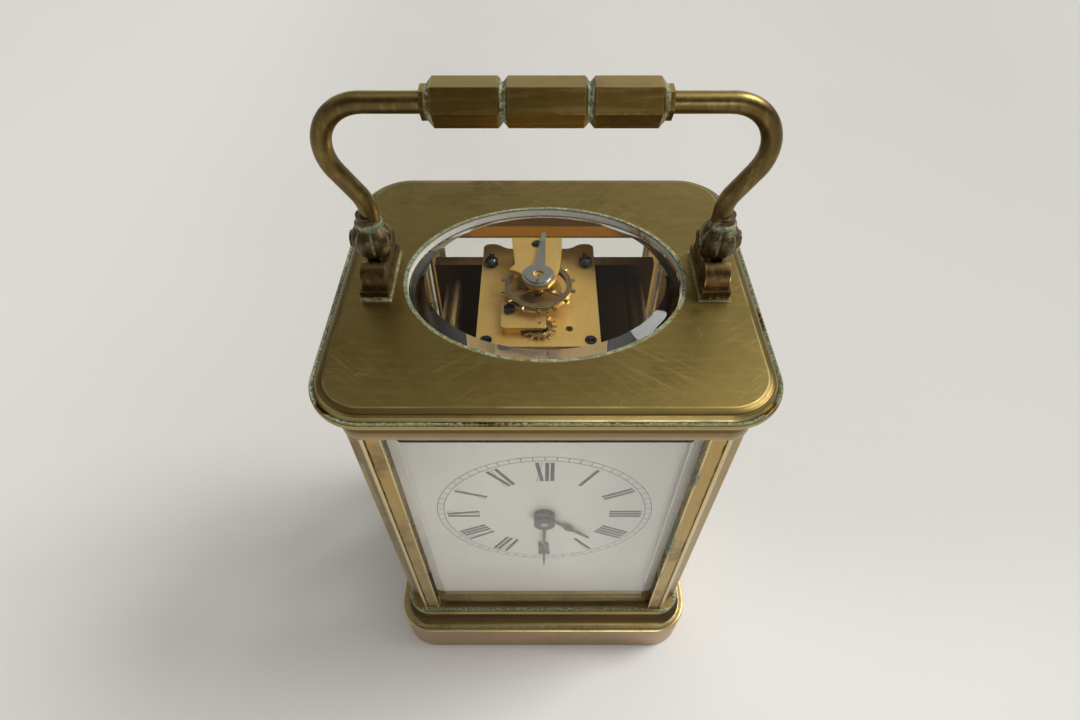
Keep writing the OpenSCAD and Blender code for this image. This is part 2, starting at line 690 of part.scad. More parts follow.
// Bent rod from knuckle to grip, drawn for the right side
module rod_shape() {
    straight_r = rod_r - 0.02;
    lap = 0.25;
    translate([rod_x, 0, rod_start]) cylinder(h = bend_z - rod_start + lap, r = straight_r);
    translate([rod_x + bend_low_r, 0, bend_z]) rotate([90, 0, 0]) rotate([0, 0, 180 - rod_lean])
        rotate_extrude(angle = rod_lean) translate([bend_low_r, 0]) circle(r = rod_r, $fn = 32);
    translate([low_end[0], 0, low_end[1]]) rotate([0, rod_lean, 0]) translate([0, 0, -lap])
        cylinder(h = lean_l + 2 * lap, r = straight_r);
    translate([bend_c[0], 0, bend_c[1]]) rotate([90, 0, 0]) rotate([0, 0, -rod_lean])
        rotate_extrude(angle = 90 + rod_lean) translate([bend_top_r, 0]) circle(r = rod_r, $fn = 32);
    translate([grip_l / 2 - grip_bore_l, 0, grip_z]) rotate([0, 90, 0])
        cylinder(h = bend_c[0] - grip_l / 2 + grip_bore_l + lap, r = straight_r);
}
module handle_rod_right() { color(case_brass) rod_shape(); }
module handle_rod_left() { color(case_brass) mirror([1, 0, 0]) rod_shape(); }
module handle_grip() {
    h = grip_flats / 2;
    e = grip_l / 2;
    collar = 1;
    cut = grip_groove;
    half = [[e, 0], [e, h - 0.9], [e - collar, h - 0.9], [e - collar, h - cut - 0.1],
        [e - collar - 0.8, h], [grip_mid / 2 + cut, h], [grip_mid / 2, h - cut], [grip_mid / 2 - cut, h]];
    outline = concat([for (p = half) p], [for (i = [len(half) - 1:-1:1]) [-half[i][0], half[i][1]]],
        [[-e, 0]], [for (i = [1:len(half) - 1]) [-half[i][0], -half[i][1]]],
        [for (i = [len(half) - 1:-1:1]) [half[i][0], -half[i][1]]]);
    color(case_brass) translate([0, 0, grip_z]) difference() {
        intersection_for (a = [0, 60, 120]) rotate([a, 0, 0]) rotate([90, 0, 0])
            translate([0, 0, -grip_flats]) linear_extrude(2 * grip_flats) polygon(outline);
        for (s = [-1, 1]) translate([s > 0 ? e - grip_bore_l - side_c : -e - eps, 0, 0]) rotate([0, 90, 0])
            cylinder(h = grip_bore_l + side_c + eps, r = rod_r + fit_c);
    }
}

// ---- Dial and motion work ----
module dial() {
    color(enamel) difference() {
        back_from(dial_y, dial_t) translate([-dial_w / 2, base_h]) square([dial_w, dial_top - base_h]);
        rod_y(centre_p, dial_y - eps, dial_t + 2 * eps, dial_hole_r);
    }
}
module dial_feet_places() {
    for (x = [-15, 15], z = [dial_z - 33, dial_z + 26]) translate([x, 0, z]) children();
}
module dial_feet() {
    color(wheel_brass) dial_feet_places() {
        rod_y([0, 0], dial_back, front_plate_y - dial_back, dial_foot_r);
        rod_y([0, 0], front_plate_y - eps, plate_t + eps, dial_foot_r - 0.5);
    }
}
// Spade hand along +X, starting inside its hub; the half outline is [distance, half width]
module hand_shape(l, spade_start, spade_l, spade_w) {
    h = spade_w / 2;
    spade = [[0, 0.6], [0.12, 0.4], [0.3, 0.8], [0.48, 1], [0.66, 0.8], [0.85, 0.4]];
    spade_end = spade_start + spade_l;
    half = concat([[0, 0.5], [spade_start - 0.3, 0.26]],
        [for (p = spade) [spade_start + p[0] * spade_l, p[1] * h]],
        [[spade_end, 0.22], [spade_end + 0.35 * (l - spade_end), 0.3], [l, 0.08]]);
    polygon(concat(half, [for (i = [len(half) - 1:-1:0]) [half[i][0], -half[i][1]]]));
}
module hour_hand() {
    color(blued) difference() {
        union() {
            back_from(hour_hand_y, hand_t) translate(centre_p) rotate(hour_angle)
                hand_shape(hour_l, 0.4 * hour_l, 4, 1.9);
            rod_y(centre_p, hour_hub_y, hub_l, hub_r);
        }
        rod_y(centre_p, hour_hub_y - eps, hub_l + 2 * eps, hour_pipe_out + fit_c);
    }
}
module minute_hand() {
    color(blued) difference() {
        union() {
            back_from(minute_hand_y, hand_t) translate(centre_p) rotate(minute_angle)
                hand_shape(minute_l, 0.5 * minute_l, 5.6, 2);
            rod_y(centre_p, minute_hub_y, hub_l, hub_r);
        }
        rod_y(centre_p, minute_hub_y - eps, hub_l + 2 * eps, arbor_r + fit_c);
    }
}
module hour_wheel() {
    color(wheel_brass) difference() {
        union() {
            gear_y(centre_p, hour_wheel_y, wheel_t, hour_n, train_module, wheel_tooth, hour_ph);
            rod_y(centre_p, hour_hub_y, hour_wheel_y - hour_hub_y + 0.1, hour_pipe_out);
        }
        rod_y(centre_p, hour_hub_y - eps, hour_wheel_y - hour_hub_y + wheel_t + 2 * eps, hour_pipe_in);
    }
}
module cannon_pinion() {
    color(steel) difference() {
        union() {
            gear_y(centre_p, cannon_y, cannon_l, cannon_n, train_module, pinion_tooth, cannon_ph);
            rod_y(centre_p, minute_hub_y + hub_l, cannon_y - minute_hub_y - hub_l + eps, cannon_out);
        }
        rod_y(centre_p, minute_hub_y, cannon_y + cannon_l - minute_hub_y + eps, arbor_r + fit_c);
    }
}
module centre_arbor() {
    color(steel) {
        rod_y(centre_p, minute_hub_y, back_back + 0.6 - minute_hub_y, arbor_r);
        back_from(back_back + 0.6, 5.4) translate(centre_p) square(2 * arbor_r * 1.3, center = true);
    }
}
module minute_wheel() {
    color(wheel_brass) difference() {
        union() {
            gear_y(minute_p, minute_wheel_y, wheel_t, minute_n, train_module, wheel_tooth, minute_ph);
            gear_y(minute_p, hour_wheel_y - 0.2, minute_wheel_y - hour_wheel_y + 0.2, minute_pinion_n,
                train_module, pinion_tooth, minute_pinion_ph);
            rod_y(minute_p, minute_wheel_y, front_plate_y - 0.2 - minute_wheel_y, 1.4);
        }
        rod_y(minute_p, hour_wheel_y - eps, 5, stud_r + run_c);
    }
}

// ---- Movement ----
module plate_outline() {
    translate([-plate_w / 2, base_h]) square([plate_w, platform_under - base_h]);
}
module spacer_places() {
    for (sx = [-1, 1], z = [base_h + 6, dial_z + 29]) translate([sx * (plate_w / 2 - 4), 0, z]) children();
}
module plate_holes(y, barrel_bore) {
    translate([0, y - eps, 0]) {
        rod_y(centre_p, 0, plate_t + 2 * eps, arbor_r + run_c);
        rod_y(barrel_p, 0, plate_t + 2 * eps, barrel_bore);
        rod_y(third_p, 0, plate_t + 2 * eps, pivot_r + run_c);
        rod_y(contrate_p, 0, plate_t + 2 * eps, pivot_r + run_c);
    }
}
// The four screws of the platform: two into the front plate, two into the back plate's lugs
module platform_screw_places() {
    front_screw_places() children();
    rear_screw_places() children();
}
module front_screw_places() {
    for (x = [-platform_screw_x, platform_screw_x]) translate([platform_x + x, front_plate_y + 1.7, 0]) children();
}
module rear_screw_places() {
    for (x = [-platform_screw_x, platform_screw_x])
        translate([platform_x + x, back_plate_y - lug_d / 2, 0]) children();
}
module edge_holes() {
    platform_screw_places() translate([0, 0, platform_under - 4]) cylinder(h = 5, r = plate_screw_r + fit_c);
    movement_screw_places() translate([0, 0, base_h - eps])
        cylinder(h = pillar_screw_l - base_deck + eps + 0.2, r = plate_screw_r + fit_c);
}
module front_plate() {
    color(gilt_brass) {
        difference() {
            back_from(front_plate_y, plate_t) plate_outline();
            plate_holes(front_plate_y, winding_r + run_c);
            edge_holes();
            spacer_places() rod_y([0, 0], front_plate_y - eps, plate_t + 2 * eps, 1 + fit_c);
            dial_feet_places()
                rod_y([0, 0], front_plate_y - eps, plate_t + 2 * eps, dial_foot_r - 0.5 + fit_c);
        }
        rod_y(minute_p, hour_wheel_y - 0.6, front_plate_y - hour_wheel_y + 1, stud_r);
    }
}
module back_plate() {
    color(gilt_brass) difference() {
        union() {
            back_from(back_plate_y, plate_t) plate_outline();
            for (x = [-platform_screw_x, platform_screw_x]) translate([platform_x + x, 0, 0]) {
                translate([-2, back_plate_y - lug_d, platform_under - 5.4]) cube([4, lug_d + eps, 5.4]);
                translate([0, back_plate_y + plate_t / 2, platform_under - eps])
                    cylinder(h = steady_h + eps, r = steady_r);
            }
        }
        plate_holes(back_plate_y, winding_r + run_c);
        edge_holes();
        spacer_places() rod_y([0, 0], back_plate_y - eps, plate_t + 2 * eps, plate_screw_r + side_c);
        rod_y(click_p, back_plate_y + 1, plate_t, plate_screw_r + fit_c);
        rod_y(spring_p, back_plate_y + 1, plate_t, plate_screw_r + fit_c);
    }
}
module movement_pillars() {
    color(gilt_brass) spacer_places() difference() {
        union() {
            rod_y([0, 0], front_back, back_plate_y - front_back, spacer_r);
            rod_y([0, 0], front_plate_y, plate_t + eps, 1);
        }
        rod_y([0, 0], back_plate_y - 4.2, 5, plate_screw_r + fit_c);
    }
}
// Screw with its head on the plane at y, shank towards the front
module rear_screw(p, y, l) {
    translate([p[0], y, p[1]]) rotate([-90, 0, 0]) slotted_screw(plate_head_r, plate_screw_r, l);
}
module plate_screws() {
    color(blued) {
        spacer_places() rear_screw([0, 0], back_back, plate_t + 4);
        translate([0, click_y + click_t - back_back + 0.05, 0]) rear_screw(click_p, back_back, 2.9);
        translate([0, click_t + 0.4 - 0.02, 0]) rear_screw(spring_p, back_back, 2.9);
    }
}

// Spring barrel: drum with its toothed ring, cap in front, wound strip inside
module barrel_drum() {
    color(wheel_brass) difference() {
        union() {
            rod_y(barrel_p, barrel_y, barrel_l, barrel_r);
            gear_y(barrel_p, barrel_gear_y, barrel_gear_t, barrel_n, barrel_module, wheel_tooth, barrel_ph);
        }
        rod_y(barrel_p, barrel_y - eps, barrel_l - barrel_wall + eps, barrel_r - barrel_wall);
        rod_y(barrel_p, barrel_y, 2 * barrel_l, winding_r + run_c);
    }
}
module barrel_cap() {
    color(wheel_brass) difference() {
        rod_y(barrel_p, barrel_y, cap_t, barrel_r - barrel_wall - fit_c);
        rod_y(barrel_p, barrel_y - eps, 5, winding_r + run_c);
    }
}
module mainspring() {
    turns = 6;
    n = turns * 20;
    strip = 0.5;
    r_in = 4.4;
    r_out = barrel_r - barrel_wall - 0.5 - strip;
    spiral = [for (i = [0:n]) polar(r_in + (r_out - r_in) * i / n, -18 * i)];
    spiral_out = [for (i = [n:-1:0]) polar(r_in + strip + (r_out - r_in) * i / n, -18 * i)];
    color(steel) back_from(barrel_y + cap_t + air_c, barrel_l - barrel_wall - cap_t - 2 * air_c)
        translate(barrel_p)
        polygon(concat(spiral, spiral_out));
}
module barrel_arbor() {
    square_y = back_back + 1.9;
    color(steel) {
        rod_y(barrel_p, front_plate_y, square_y - front_plate_y, winding_r);
        rod_y(barrel_p, barrel_y + cap_t + 0.2, barrel_l - barrel_wall - cap_t - 0.4, 3.9);
        back_from(square_y, door_y - 1.1 - square_y) translate(barrel_p) square(winding_square, center = true);
    }
}
module ratchet_wheel() {
    pts = [for (i = [0:ratchet_n - 1]) each [polar(ratchet_r, i * 15), polar(ratchet_r - 1, i * 15 + 1.5)]];
    color(steel) difference() {
        back_from(click_y, click_t) translate(barrel_p) polygon(pts);
        rod_y(barrel_p, click_y - eps, click_t + 2 * eps, winding_r + fit_c);
    }
}
// Click: arm from its screw to a nose that drops between two teeth
module click() {
    nose = barrel_p + polar(ratchet_r - 0.6, 66);
    outer = barrel_p + polar(ratchet_r + 1.5, 66);
    inner = barrel_p + polar(ratchet_r + 0.45, 45);
    color(steel) difference() {
        union() {
            rod_y(click_p, click_y, click_t, 1.7);
            back_from(click_y, click_t) polygon([nose, nose + polar(0.35, 75), outer,
                click_p + polar(1.69, 80), click_p + polar(1.69, -120), inner,
                barrel_p + polar(ratchet_r + 0.35, 60.5)]);
        }
        rod_y(click_p, click_y - eps, click_t + 2 * eps, plate_screw_r + run_c);
    }
}
module click_spring() {
    tip = barrel_p + polar(ratchet_r + 2.7, 66);
    color(blued) difference() {
        union() {
            rod_y(spring_p, back_back, click_t + 0.38, 1.5);
            back_from(click_y, click_t) polygon([tip, tip + polar(0.45, 66), spring_p + polar(1.45, 130),
                spring_p + polar(1.45, 200)]);
        }
        rod_y(spring_p, back_back - eps, click_t + 2, plate_screw_r + fit_c);
    }
}

// Wheel with four crossings cut out between hub and rim
module crossed_wheel(p, y, n, m, phase) {
    r = n * m / 2 - 1.25 * m - 1.1;
    hub = 2.6;
    difference() {
        gear_y(p, y, wheel_t, n, m, wheel_tooth, phase);
        back_from(y - eps, wheel_t + 2 * eps) translate(p) for (k = [0:3]) rotate(45 + 90 * k)
            polygon(concat(arc([0, 0], r, -36, 36, 8), arc([0, 0], hub, 20, -20, 2)));
    }
}
module centre_wheel() {
    color(wheel_brass) difference() {
        union() {
            crossed_wheel(centre_p, centre_wheel_y, centre_n, train_module, centre_ph);
            gear_y(centre_p, centre_pinion_y, 2.6, centre_pinion_n, barrel_module, pinion_tooth,
                centre_pinion_ph);
            rod_y(centre_p, front_back + 0.1, back_plate_y - front_back - 0.2, 1.5);
        }
        rod_y(centre_p, front_back - 1, back_plate_y - front_back + 2, arbor_r + run_c);
    }
}
module arbor_pivots(p, r) {
    rod_y(p, front_plate_y + 0.2, back_back - front_plate_y - 0.4, pivot_r);
    rod_y(p, front_back + 0.1, back_plate_y - front_back - 0.2, r);
}
module third_wheel() {
    color(wheel_brass) {
        crossed_wheel(third_p, third_wheel_y, third_n, train_module, third_ph);
        gear_y(third_p, third_pinion_y, 1.6, third_pinion_n, train_module, pinion_tooth, third_pinion_ph);
        arbor_pivots(third_p, 0.9);
    }
}
// Contrate wheel: a crown with its teeth towards the front, in mesh with the upright pinion
module contrate_wheel() {
    r_in = crown_pitch_r - crown_tooth_w / 2;
    r_out = crown_pitch_r + crown_tooth_w / 2;
    add = 0.8 * crown_module;
    ded = 1.2 * crown_module;
    q = 90 / crown_n;
    color(wheel_brass) {
        difference() {
            back_from(crown_y + ded, 1.6) translate(contrate_p) circle(r = r_out);
            back_from(crown_y, ded + 1) translate(contrate_p) circle(r = r_in - 0.4);
            back_from(crown_y, 5) translate(contrate_p) for (k = [0:3]) rotate(45 + 90 * k)
                polygon(concat(arc([0, 0], r_in - 1, -36, 36, 8), arc([0, 0], 2.4, 20, -20, 2)));
        }
        for (i = [0:crown_n - 1]) translate([contrate_p[0], crown_y, contrate_p[1]])
            rotate([0, -360 * i / crown_n, 0]) translate([0, 0, r_in]) linear_extrude(crown_tooth_w)
                polygon([for (s = [[-0.72, ded + 0.2], [-0.72, 0], [-0.3, -add], [0.3, -add], [0.72, 0],
                    [0.72, ded + 0.2]]) [s[0] * crown_pitch_r * sin(q), s[1]]]);
        gear_y(contrate_p, third_wheel_y - 0.3, wheel_t + 0.6, contrate_pinion_n, train_module,
            pinion_tooth, contrate_pinion_ph);
        arbor_pivots(contrate_p, 0.8);
    }
}

// ---- Platform escapement ----
module platform_plate() {
    w = platform_w / 2;
    color(gilt_brass) difference() {
        translate([platform_x, 0, platform_under]) linear_extrude(platform_t) difference() {
            polygon(concat([[-w, front_plate_y], [w, front_plate_y], [w, ear_back - 0.8], [w - 0.8, ear_back]],
                [for (i = [0:8]) let (t = i / 8) [w - 2.2 - (ear_w - 1) * t,
                    ear_back + 0.1 - (ear_back - platform_back) * (0.5 - 0.5 * cos(180 * t))]],
                [for (i = [8:-1:0]) let (t = i / 8) [-w + 2.2 + (ear_w - 1) * t,
                    ear_back + 0.1 - (ear_back - platform_back) * (0.5 - 0.5 * cos(180 * t))]],
                [[-w + 0.8, ear_back], [-w, ear_back - 0.8]]));
            translate([w - 6, -4.45]) circle(r = 0.75);
        }
        platform_screw_places() translate([0, 0, platform_under - eps])
            cylinder(h = platform_t + 2 * eps, r = plate_screw_r + side_c);
        front_screw_places() translate([0, 0, platform_top - sunk_head_t])
            cylinder(h = sunk_head_t + eps, r = sunk_head_r + side_c);
        for (x = [-platform_screw_x, platform_screw_x])
            translate([platform_x + x, back_plate_y + plate_t / 2, platform_under - eps])
                cylinder(h = platform_t + 2 * eps, r = steady_r + fit_c);
        translate([escape_x, escape_y, platform_under - eps])
            cylinder(h = platform_t + 2 * eps, r = escape_pinion_r + 0.8);
        translate([platform_x, balance_y, platform_under - eps])
            cylinder(h = platform_t + 2 * eps, r = staff_r + run_c);
        translate([escape_x, lever_y, platform_under - eps])
            cylinder(h = platform_t + 2 * eps, r = 0.3 + run_c);
        for (p = cock_screw_places) translate([p[0], p[1], platform_under - eps])
            cylinder(h = platform_t + 2 * eps, r = 0.6 + fit_c);
        translate([escape_x - 3.6, escape_y, platform_under - eps])
            cylinder(h = platform_t + 2 * eps, r = steady_r + fit_c);
    }
}
module platform_screws() {
    color(blued) {
        front_screw_places() translate([0, 0, platform_top - sunk_head_t])
            slotted_screw(sunk_head_r, plate_screw_r, platform_t - sunk_head_t + 3.8, sunk_head_t);
        rear_screw_places() translate([0, 0, platform_top])
            domed_screw(1.5, plate_screw_r, platform_t + 3.8, 1.6);
    }
}
// Hanging bracket under the platform for the foot of the escape arbor
module escape_potence() {
    z0 = platform_under - 4.4;
    arm_y = [escape_y - 0.75, 1.4];
    color(gilt_brass) difference() {
        union() {
            translate([escape_x - 4.4, arm_y[0], z0]) cube([1.6, arm_y[1], platform_under - z0]);
            translate([escape_x - 4.4, arm_y[0], z0]) cube([5.2, arm_y[1], 1.2]);
            translate([escape_x - 3.6, escape_y, platform_under - eps]) cylinder(h = 1.2 + eps, r = steady_r);
        }
        translate([escape_x, escape_y, z0 - eps]) cylinder(h = 3, r = 0.3 + run_c);
    }
}
module escape_wheel() {
    pts = [for (i = [0:escape_n - 1]) let (a = 24 * i) each [polar(escape_r, a),
        polar(escape_r, a + 3), polar(escape_r - 0.95, a + 9), polar(escape_r - 1, a + 25)]];
    r = escape_r - 1.6;
    color(wheel_brass) translate([escape_x, escape_y, 0]) {
        difference() {
            translate([0, 0, escape_wheel_z]) linear_extrude(escape_wheel_t)
                polygon(pts);
            for (k = [0:3]) rotate(45 + 90 * k) translate([0, 0, escape_wheel_z - eps]) linear_extrude(2)
                polygon(concat(arc([0, 0], r, -34, 34, 4), [polar(0.9, 20), polar(0.9, -20)]));
        }
        translate([0, 0, platform_under - 2.6]) linear_extrude(2.3) rotate(90 + 180 / escape_pinion_n)
            polygon(tooth_points(escape_pinion_n, crown_module, pinion_tooth));
        translate([0, 0, platform_under - 2.7]) cylinder(h = escape_wheel_z - platform_under + 3.1, r = 0.5);
        translate([0, 0, platform_under - 4.2]) cylinder(h = cock_h + platform_t + 4.1, r = 0.3);
    }
}
// Low bridge over the escape wheel and the lever
module escape_cock() {
    x0 = platform_x - 7.2;
    x1 = platform_x + 1.5;
    y0 = -5.9;
    y1 = 2.7;
    r = 1;
    color(gilt_brass) difference() {
        translate([(x0 + x1) / 2, (y0 + y1) / 2, platform_top]) rounded_box(x1 - x0, y1 - y0, cock_h, r);
        translate([escape_x, escape_y, platform_top - eps]) cylinder(h = 1.1 + eps, r = escape_r + air_c);
        translate([escape_x - 2.3, escape_y, platform_top - eps]) cube([9, 20, 1.35 + eps]);
        translate([escape_x, escape_y, platform_top]) cylinder(h = 5, r = 0.3 + run_c);
        translate([escape_x, lever_y, platform_top]) cylinder(h = 5, r = 0.3 + run_c);
        translate([cock_screw_places[0][0], cock_screw_places[0][1], platform_top - eps])
            cylinder(h = 5, r = 0.6 + fit_c);
    }
}
module cock_screws() {
    heights = [platform_top + cock_h, cock_top - cock_sink];
    color(blued) for (i = [0, 1])
        translate([cock_screw_places[i][0], cock_screw_places[i][1], heights[i]])
            slotted_screw(cock_head_r, 0.6, heights[i] - platform_under, 0.85);
}
// Lever with two pallets towards the escape wheel and a fork towards the staff
module pallet_lever() {
    fork = balance_y - lever_y - roller_r - 0.35;
    color(steel) translate([escape_x, lever_y, 0]) {
        translate([0, 0, lever_z]) linear_extrude(lever_t) {
            circle(r = 0.7);
            polygon([[-0.35, 0], [-0.3, fork - 0.7], [-0.8, fork], [-0.25, fork], [0, fork - 0.5],
                [0.25, fork], [0.8, fork], [0.3, fork - 0.7], [0.35, 0], [1.85, -0.5], [1.75, -1],
                [0, -0.65], [-1.75, -1], [-1.85, -0.5]]);
        }
        translate([0, 0, platform_under + 0.2]) cylinder(h = platform_t + cock_h - 0.4, r = 0.3);
    }
}
module cock_outline() {
    polygon([[-5.6, 12.2], [5, 12.2], [4.8, 8], [4.4, 3.9], [3.9, 1.7], [3.2, -0.4], [2, -2.2], [0, -2.8],
        [-2, -2.2], [-2.8, -0.4], [-3.2, 0.9], [-4.4, 1.8], [-5.8, 2.3], [-4.7, 3.9], [-5.1, 8]]);
}
module balance_cock() {
    color(gilt_brass) translate([platform_x, 0, 0]) difference() {
        union() {
            translate([0, balance_y, cock_under]) linear_extrude(cock_top - cock_under) cock_outline();
            translate([-5.2, cock_foot_y, platform_top]) cube([9.9, cock_back - cock_foot_y - 0.1,
                cock_top - platform_top - 0.2]);
            translate([0, balance_y, cock_top - 0.2]) cylinder(h = 0.2 + 0.45, r = boss_r);
        }
        translate([0, balance_y, platform_top]) cylinder(h = 20, r = staff_r + run_c);
        translate([cock_screw_places[1][0] - platform_x, cock_screw_places[1][1], 0]) {
            translate([0, 0, platform_top - eps]) cylinder(h = 10, r = 0.6 + fit_c);
            translate([0, 0, cock_top - cock_sink]) cylinder(h = 10, r = cock_head_r + side_c);
        }
    }
}
module regulator_index() {
    color(steel) translate([platform_x, balance_y, index_z]) difference() {
        union() {
            cylinder(h = index_t, r = index_r);
            cylinder(h = index_t + 0.35, r = index_r - 0.6);
            rotate(-index_lean) linear_extrude(index_t)
                polygon([[-1.15, index_r - 0.5], [1.15, index_r - 0.5], [0.4, index_l], [-0.4, index_l]]);
        }
        translate([0, 0, -1]) cylinder(h = 4, r = boss_r + run_c);
        rotate(-index_lean) translate([-0.12, -index_r - eps, -1]) cube([0.24, index_r - boss_r, 4]);
    }
}
module balance_wheel() {
    screw_n = 14;
    color(wheel_brass) translate([platform_x, balance_y, 0]) {
        difference() {
            translate([0, 0, balance_z - 0.3]) cylinder(h = rim_h, r = balance_r);
            translate([0, 0, balance_z - 1]) cylinder(h = 3, r = balance_r - rim_w);
        }
        for (k = [0:2]) rotate(90 + 120 * k) translate([0, -0.45, balance_z])
            cube([balance_r - rim_w / 2, 0.9, balance_arm_t]);
        for (i = [0:screw_n - 1]) rotate(360 * (i + 0.5) / screw_n)
            translate([balance_r - 0.3, 0, balance_z - 0.3 + rim_h / 2]) rotate([0, 90, 0])
                cylinder(h = 1.1, r = 0.38, $fn = 16);
        translate([0, 0, platform_under + 0.2]) cylinder(h = cock_top - platform_under, r = staff_r);
        translate([0, 0, hairspring_z - 0.4]) cylinder(h = balance_z - hairspring_z + 0.6, r = collet_r);
        translate([0, 0, lever_z]) cylinder(h = lever_t + 0.1, r = roller_r);
    }
}
// Hairspring: one unbroken spiral of wire from the collet to the stud
function spring_angle(i) = hairspring_end - 360 * hairspring_turns + 360 * i / rings_per_turn;
function spring_r(i) = hairspring_out_r - hairspring_pitch * (hairspring_turns - i / rings_per_turn);
spring_n = hairspring_turns * rings_per_turn;
spring_route = concat([for (i = [0:spring_n]) polar(spring_r(i), spring_angle(i))],
    [polar(hairspring_out_r, hairspring_end) + polar(hairspring_wire, hairspring_end + 90)]);
spring_gap = min([for (i = [0:spring_n - rings_per_turn]) for (j = [-1:1]) let (k = i + rings_per_turn + j)
    if (k <= spring_n) norm(spring_route[i] - spring_route[k])]) - hairspring_wire;
echo(str("hairspring least gap between turns ", spring_gap, " mm"));
module hairspring() {
    sides = 6;
    last = len(spring_route) - 1;
    function along(i) = let (a = spring_route[max(i - 1, 0)], b = spring_route[min(i + 1, last)])
        (b - a) / norm(b - a);
    pts = [for (i = [0:last]) let (u = along(i)) for (s = [0:sides - 1])
        let (o = polar(hairspring_wire / 2, 60 * s), p = spring_route[i])
        [p[0] + u[1] * o[0], p[1] - u[0] * o[0], o[1]]];
    walls = [for (i = [0:last - 1], s = [0:sides - 1]) let (a = i * sides + s,
        b = i * sides + (s + 1) % sides, c = b + sides, d = a + sides) each [[a, c, b], [a, d, c]]];
    far = last * sides;
    ends = concat([for (s = [1:sides - 2]) [0, s, s + 1]],
        [for (s = [1:sides - 2]) [far, far + s + 1, far + s]]);
    color(blued) translate([platform_x, balance_y, hairspring_z]) polyhedron(pts, concat(walls, ends));
}
module hairspring_stud() {
    p = [platform_x, balance_y] + polar(hairspring_out_r, hairspring_end)
        + polar(hairspring_wire + 0.45, hairspring_end + 90);
    color(steel) translate([p[0], p[1], platform_top])
        cylinder(h = hairspring_z - platform_top + 0.4, r = 0.45, $fn = 24);
}

// ---- Rear door ----
module rear_door_frame() {
    x0 = door_axis_x;
    x1 = door_half;
    z0 = base_h + door_gap;
    rebate = 1.2;
    color(case_brass) difference() {
        union() {
            translate([x0, door_y, z0]) cube([x1 - x0, door_t, door_h]);
            translate([door_axis_x, door_axis_y, z0]) cylinder(h = door_h, r = door_t / 2);
        }
        translate([x0 - door_t / 2 + door_bar, door_y - eps, z0 + door_bar])
            cube([x1 - x0 + door_t / 2 - 2 * door_bar, 2 * door_t, door_h - 2 * door_bar]);
        translate([x0 - door_t / 2 + door_bar - rebate, door_y - eps, z0 + door_bar - rebate])
            cube([x1 - x0 + door_t / 2 - 2 * (door_bar - rebate), eps + door_t - 0.7,
                door_h - 2 * (door_bar - rebate)]);
        for (z = [z0 - eps, z0 + door_h - door_pin_l]) translate([door_axis_x, door_axis_y, z])
            cylinder(h = door_pin_l + eps, r = door_pin_r + fit_c);
        rod_y([knob_x, dial_z], door_y - eps, door_t + 2 * eps, 0.8 + fit_c);
    }
}
module rear_glass() {
    rebate = 1.2 - groove_c;
    x0 = door_axis_x - door_t / 2 + door_bar - rebate;
    x1 = door_half - door_bar + rebate;
    z0 = base_h + door_gap + door_bar - rebate;
    h = door_h - 2 * (door_bar - rebate);
    color(clear_glass) translate([(x0 + x1) / 2, door_y + door_t - 0.7 - fit_c, z0]) mirror([0, 1, 0])
        linear_extrude(h) translate([-(x1 - x0) / 2, 0]) square([x1 - x0, rear_glass_t]);
}
module door_knob() {
    color(case_brass) {
        rod_y([knob_x, dial_z], door_y, door_t + 0.6, 0.8);
        translate([knob_x, door_y + door_t, dial_z]) rotate([-90, 0, 0]) rotate_extrude() polygon(concat(
            [[0, 0], [knob_r - 0.5, 0], [knob_r - 0.9, 0.7], [knob_r - 0.7, 1.3]],
            [for (a = [-30:15:90]) [knob_r * cos(a), knob_l - 1.1 + 1.1 * sin(a)]]));
    }
}
module door_pins() {
    color(steel) for (z = [base_h - door_pin_l + 0.2, rail_z - door_gap - door_pin_l + 0.2])
        translate([door_axis_x, door_axis_y, z]) cylinder(h = 2 * door_pin_l + door_gap - 0.4, r = door_pin_r);
}

base_plinth();
pillar_front_left();
pillar_front_right();
pillar_rear_left();
pillar_rear_right();
top_cornice();
top_glass();
front_glass();
left_glass();
right_glass();
pillar_screws();
movement_screws();
handle_foot_left();
handle_foot_right();
foot_screws();
rear_door_frame();
rear_glass();
door_knob();
door_pins();
handle_knuckle_left();
handle_knuckle_right();
handle_rod_left();
handle_rod_right();
handle_grip();
handle_pins();
dial();
dial_feet();
hour_hand();
hour_wheel();
minute_hand();
cannon_pinion();
centre_arbor();
minute_wheel();
front_plate();
back_plate();
movement_pillars();
plate_screws();
barrel_drum();
barrel_cap();
mainspring();
barrel_arbor();
ratchet_wheel();
click();
click_spring();
centre_wheel();
third_wheel();
contrate_wheel();
platform_plate();
platform_screws();
escape_potence();
escape_wheel();
escape_cock();
cock_screws();
pallet_lever();
balance_cock();
regulator_index();
balance_wheel();
hairspring();
hairspring_stud();
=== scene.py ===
# %% [markdown]
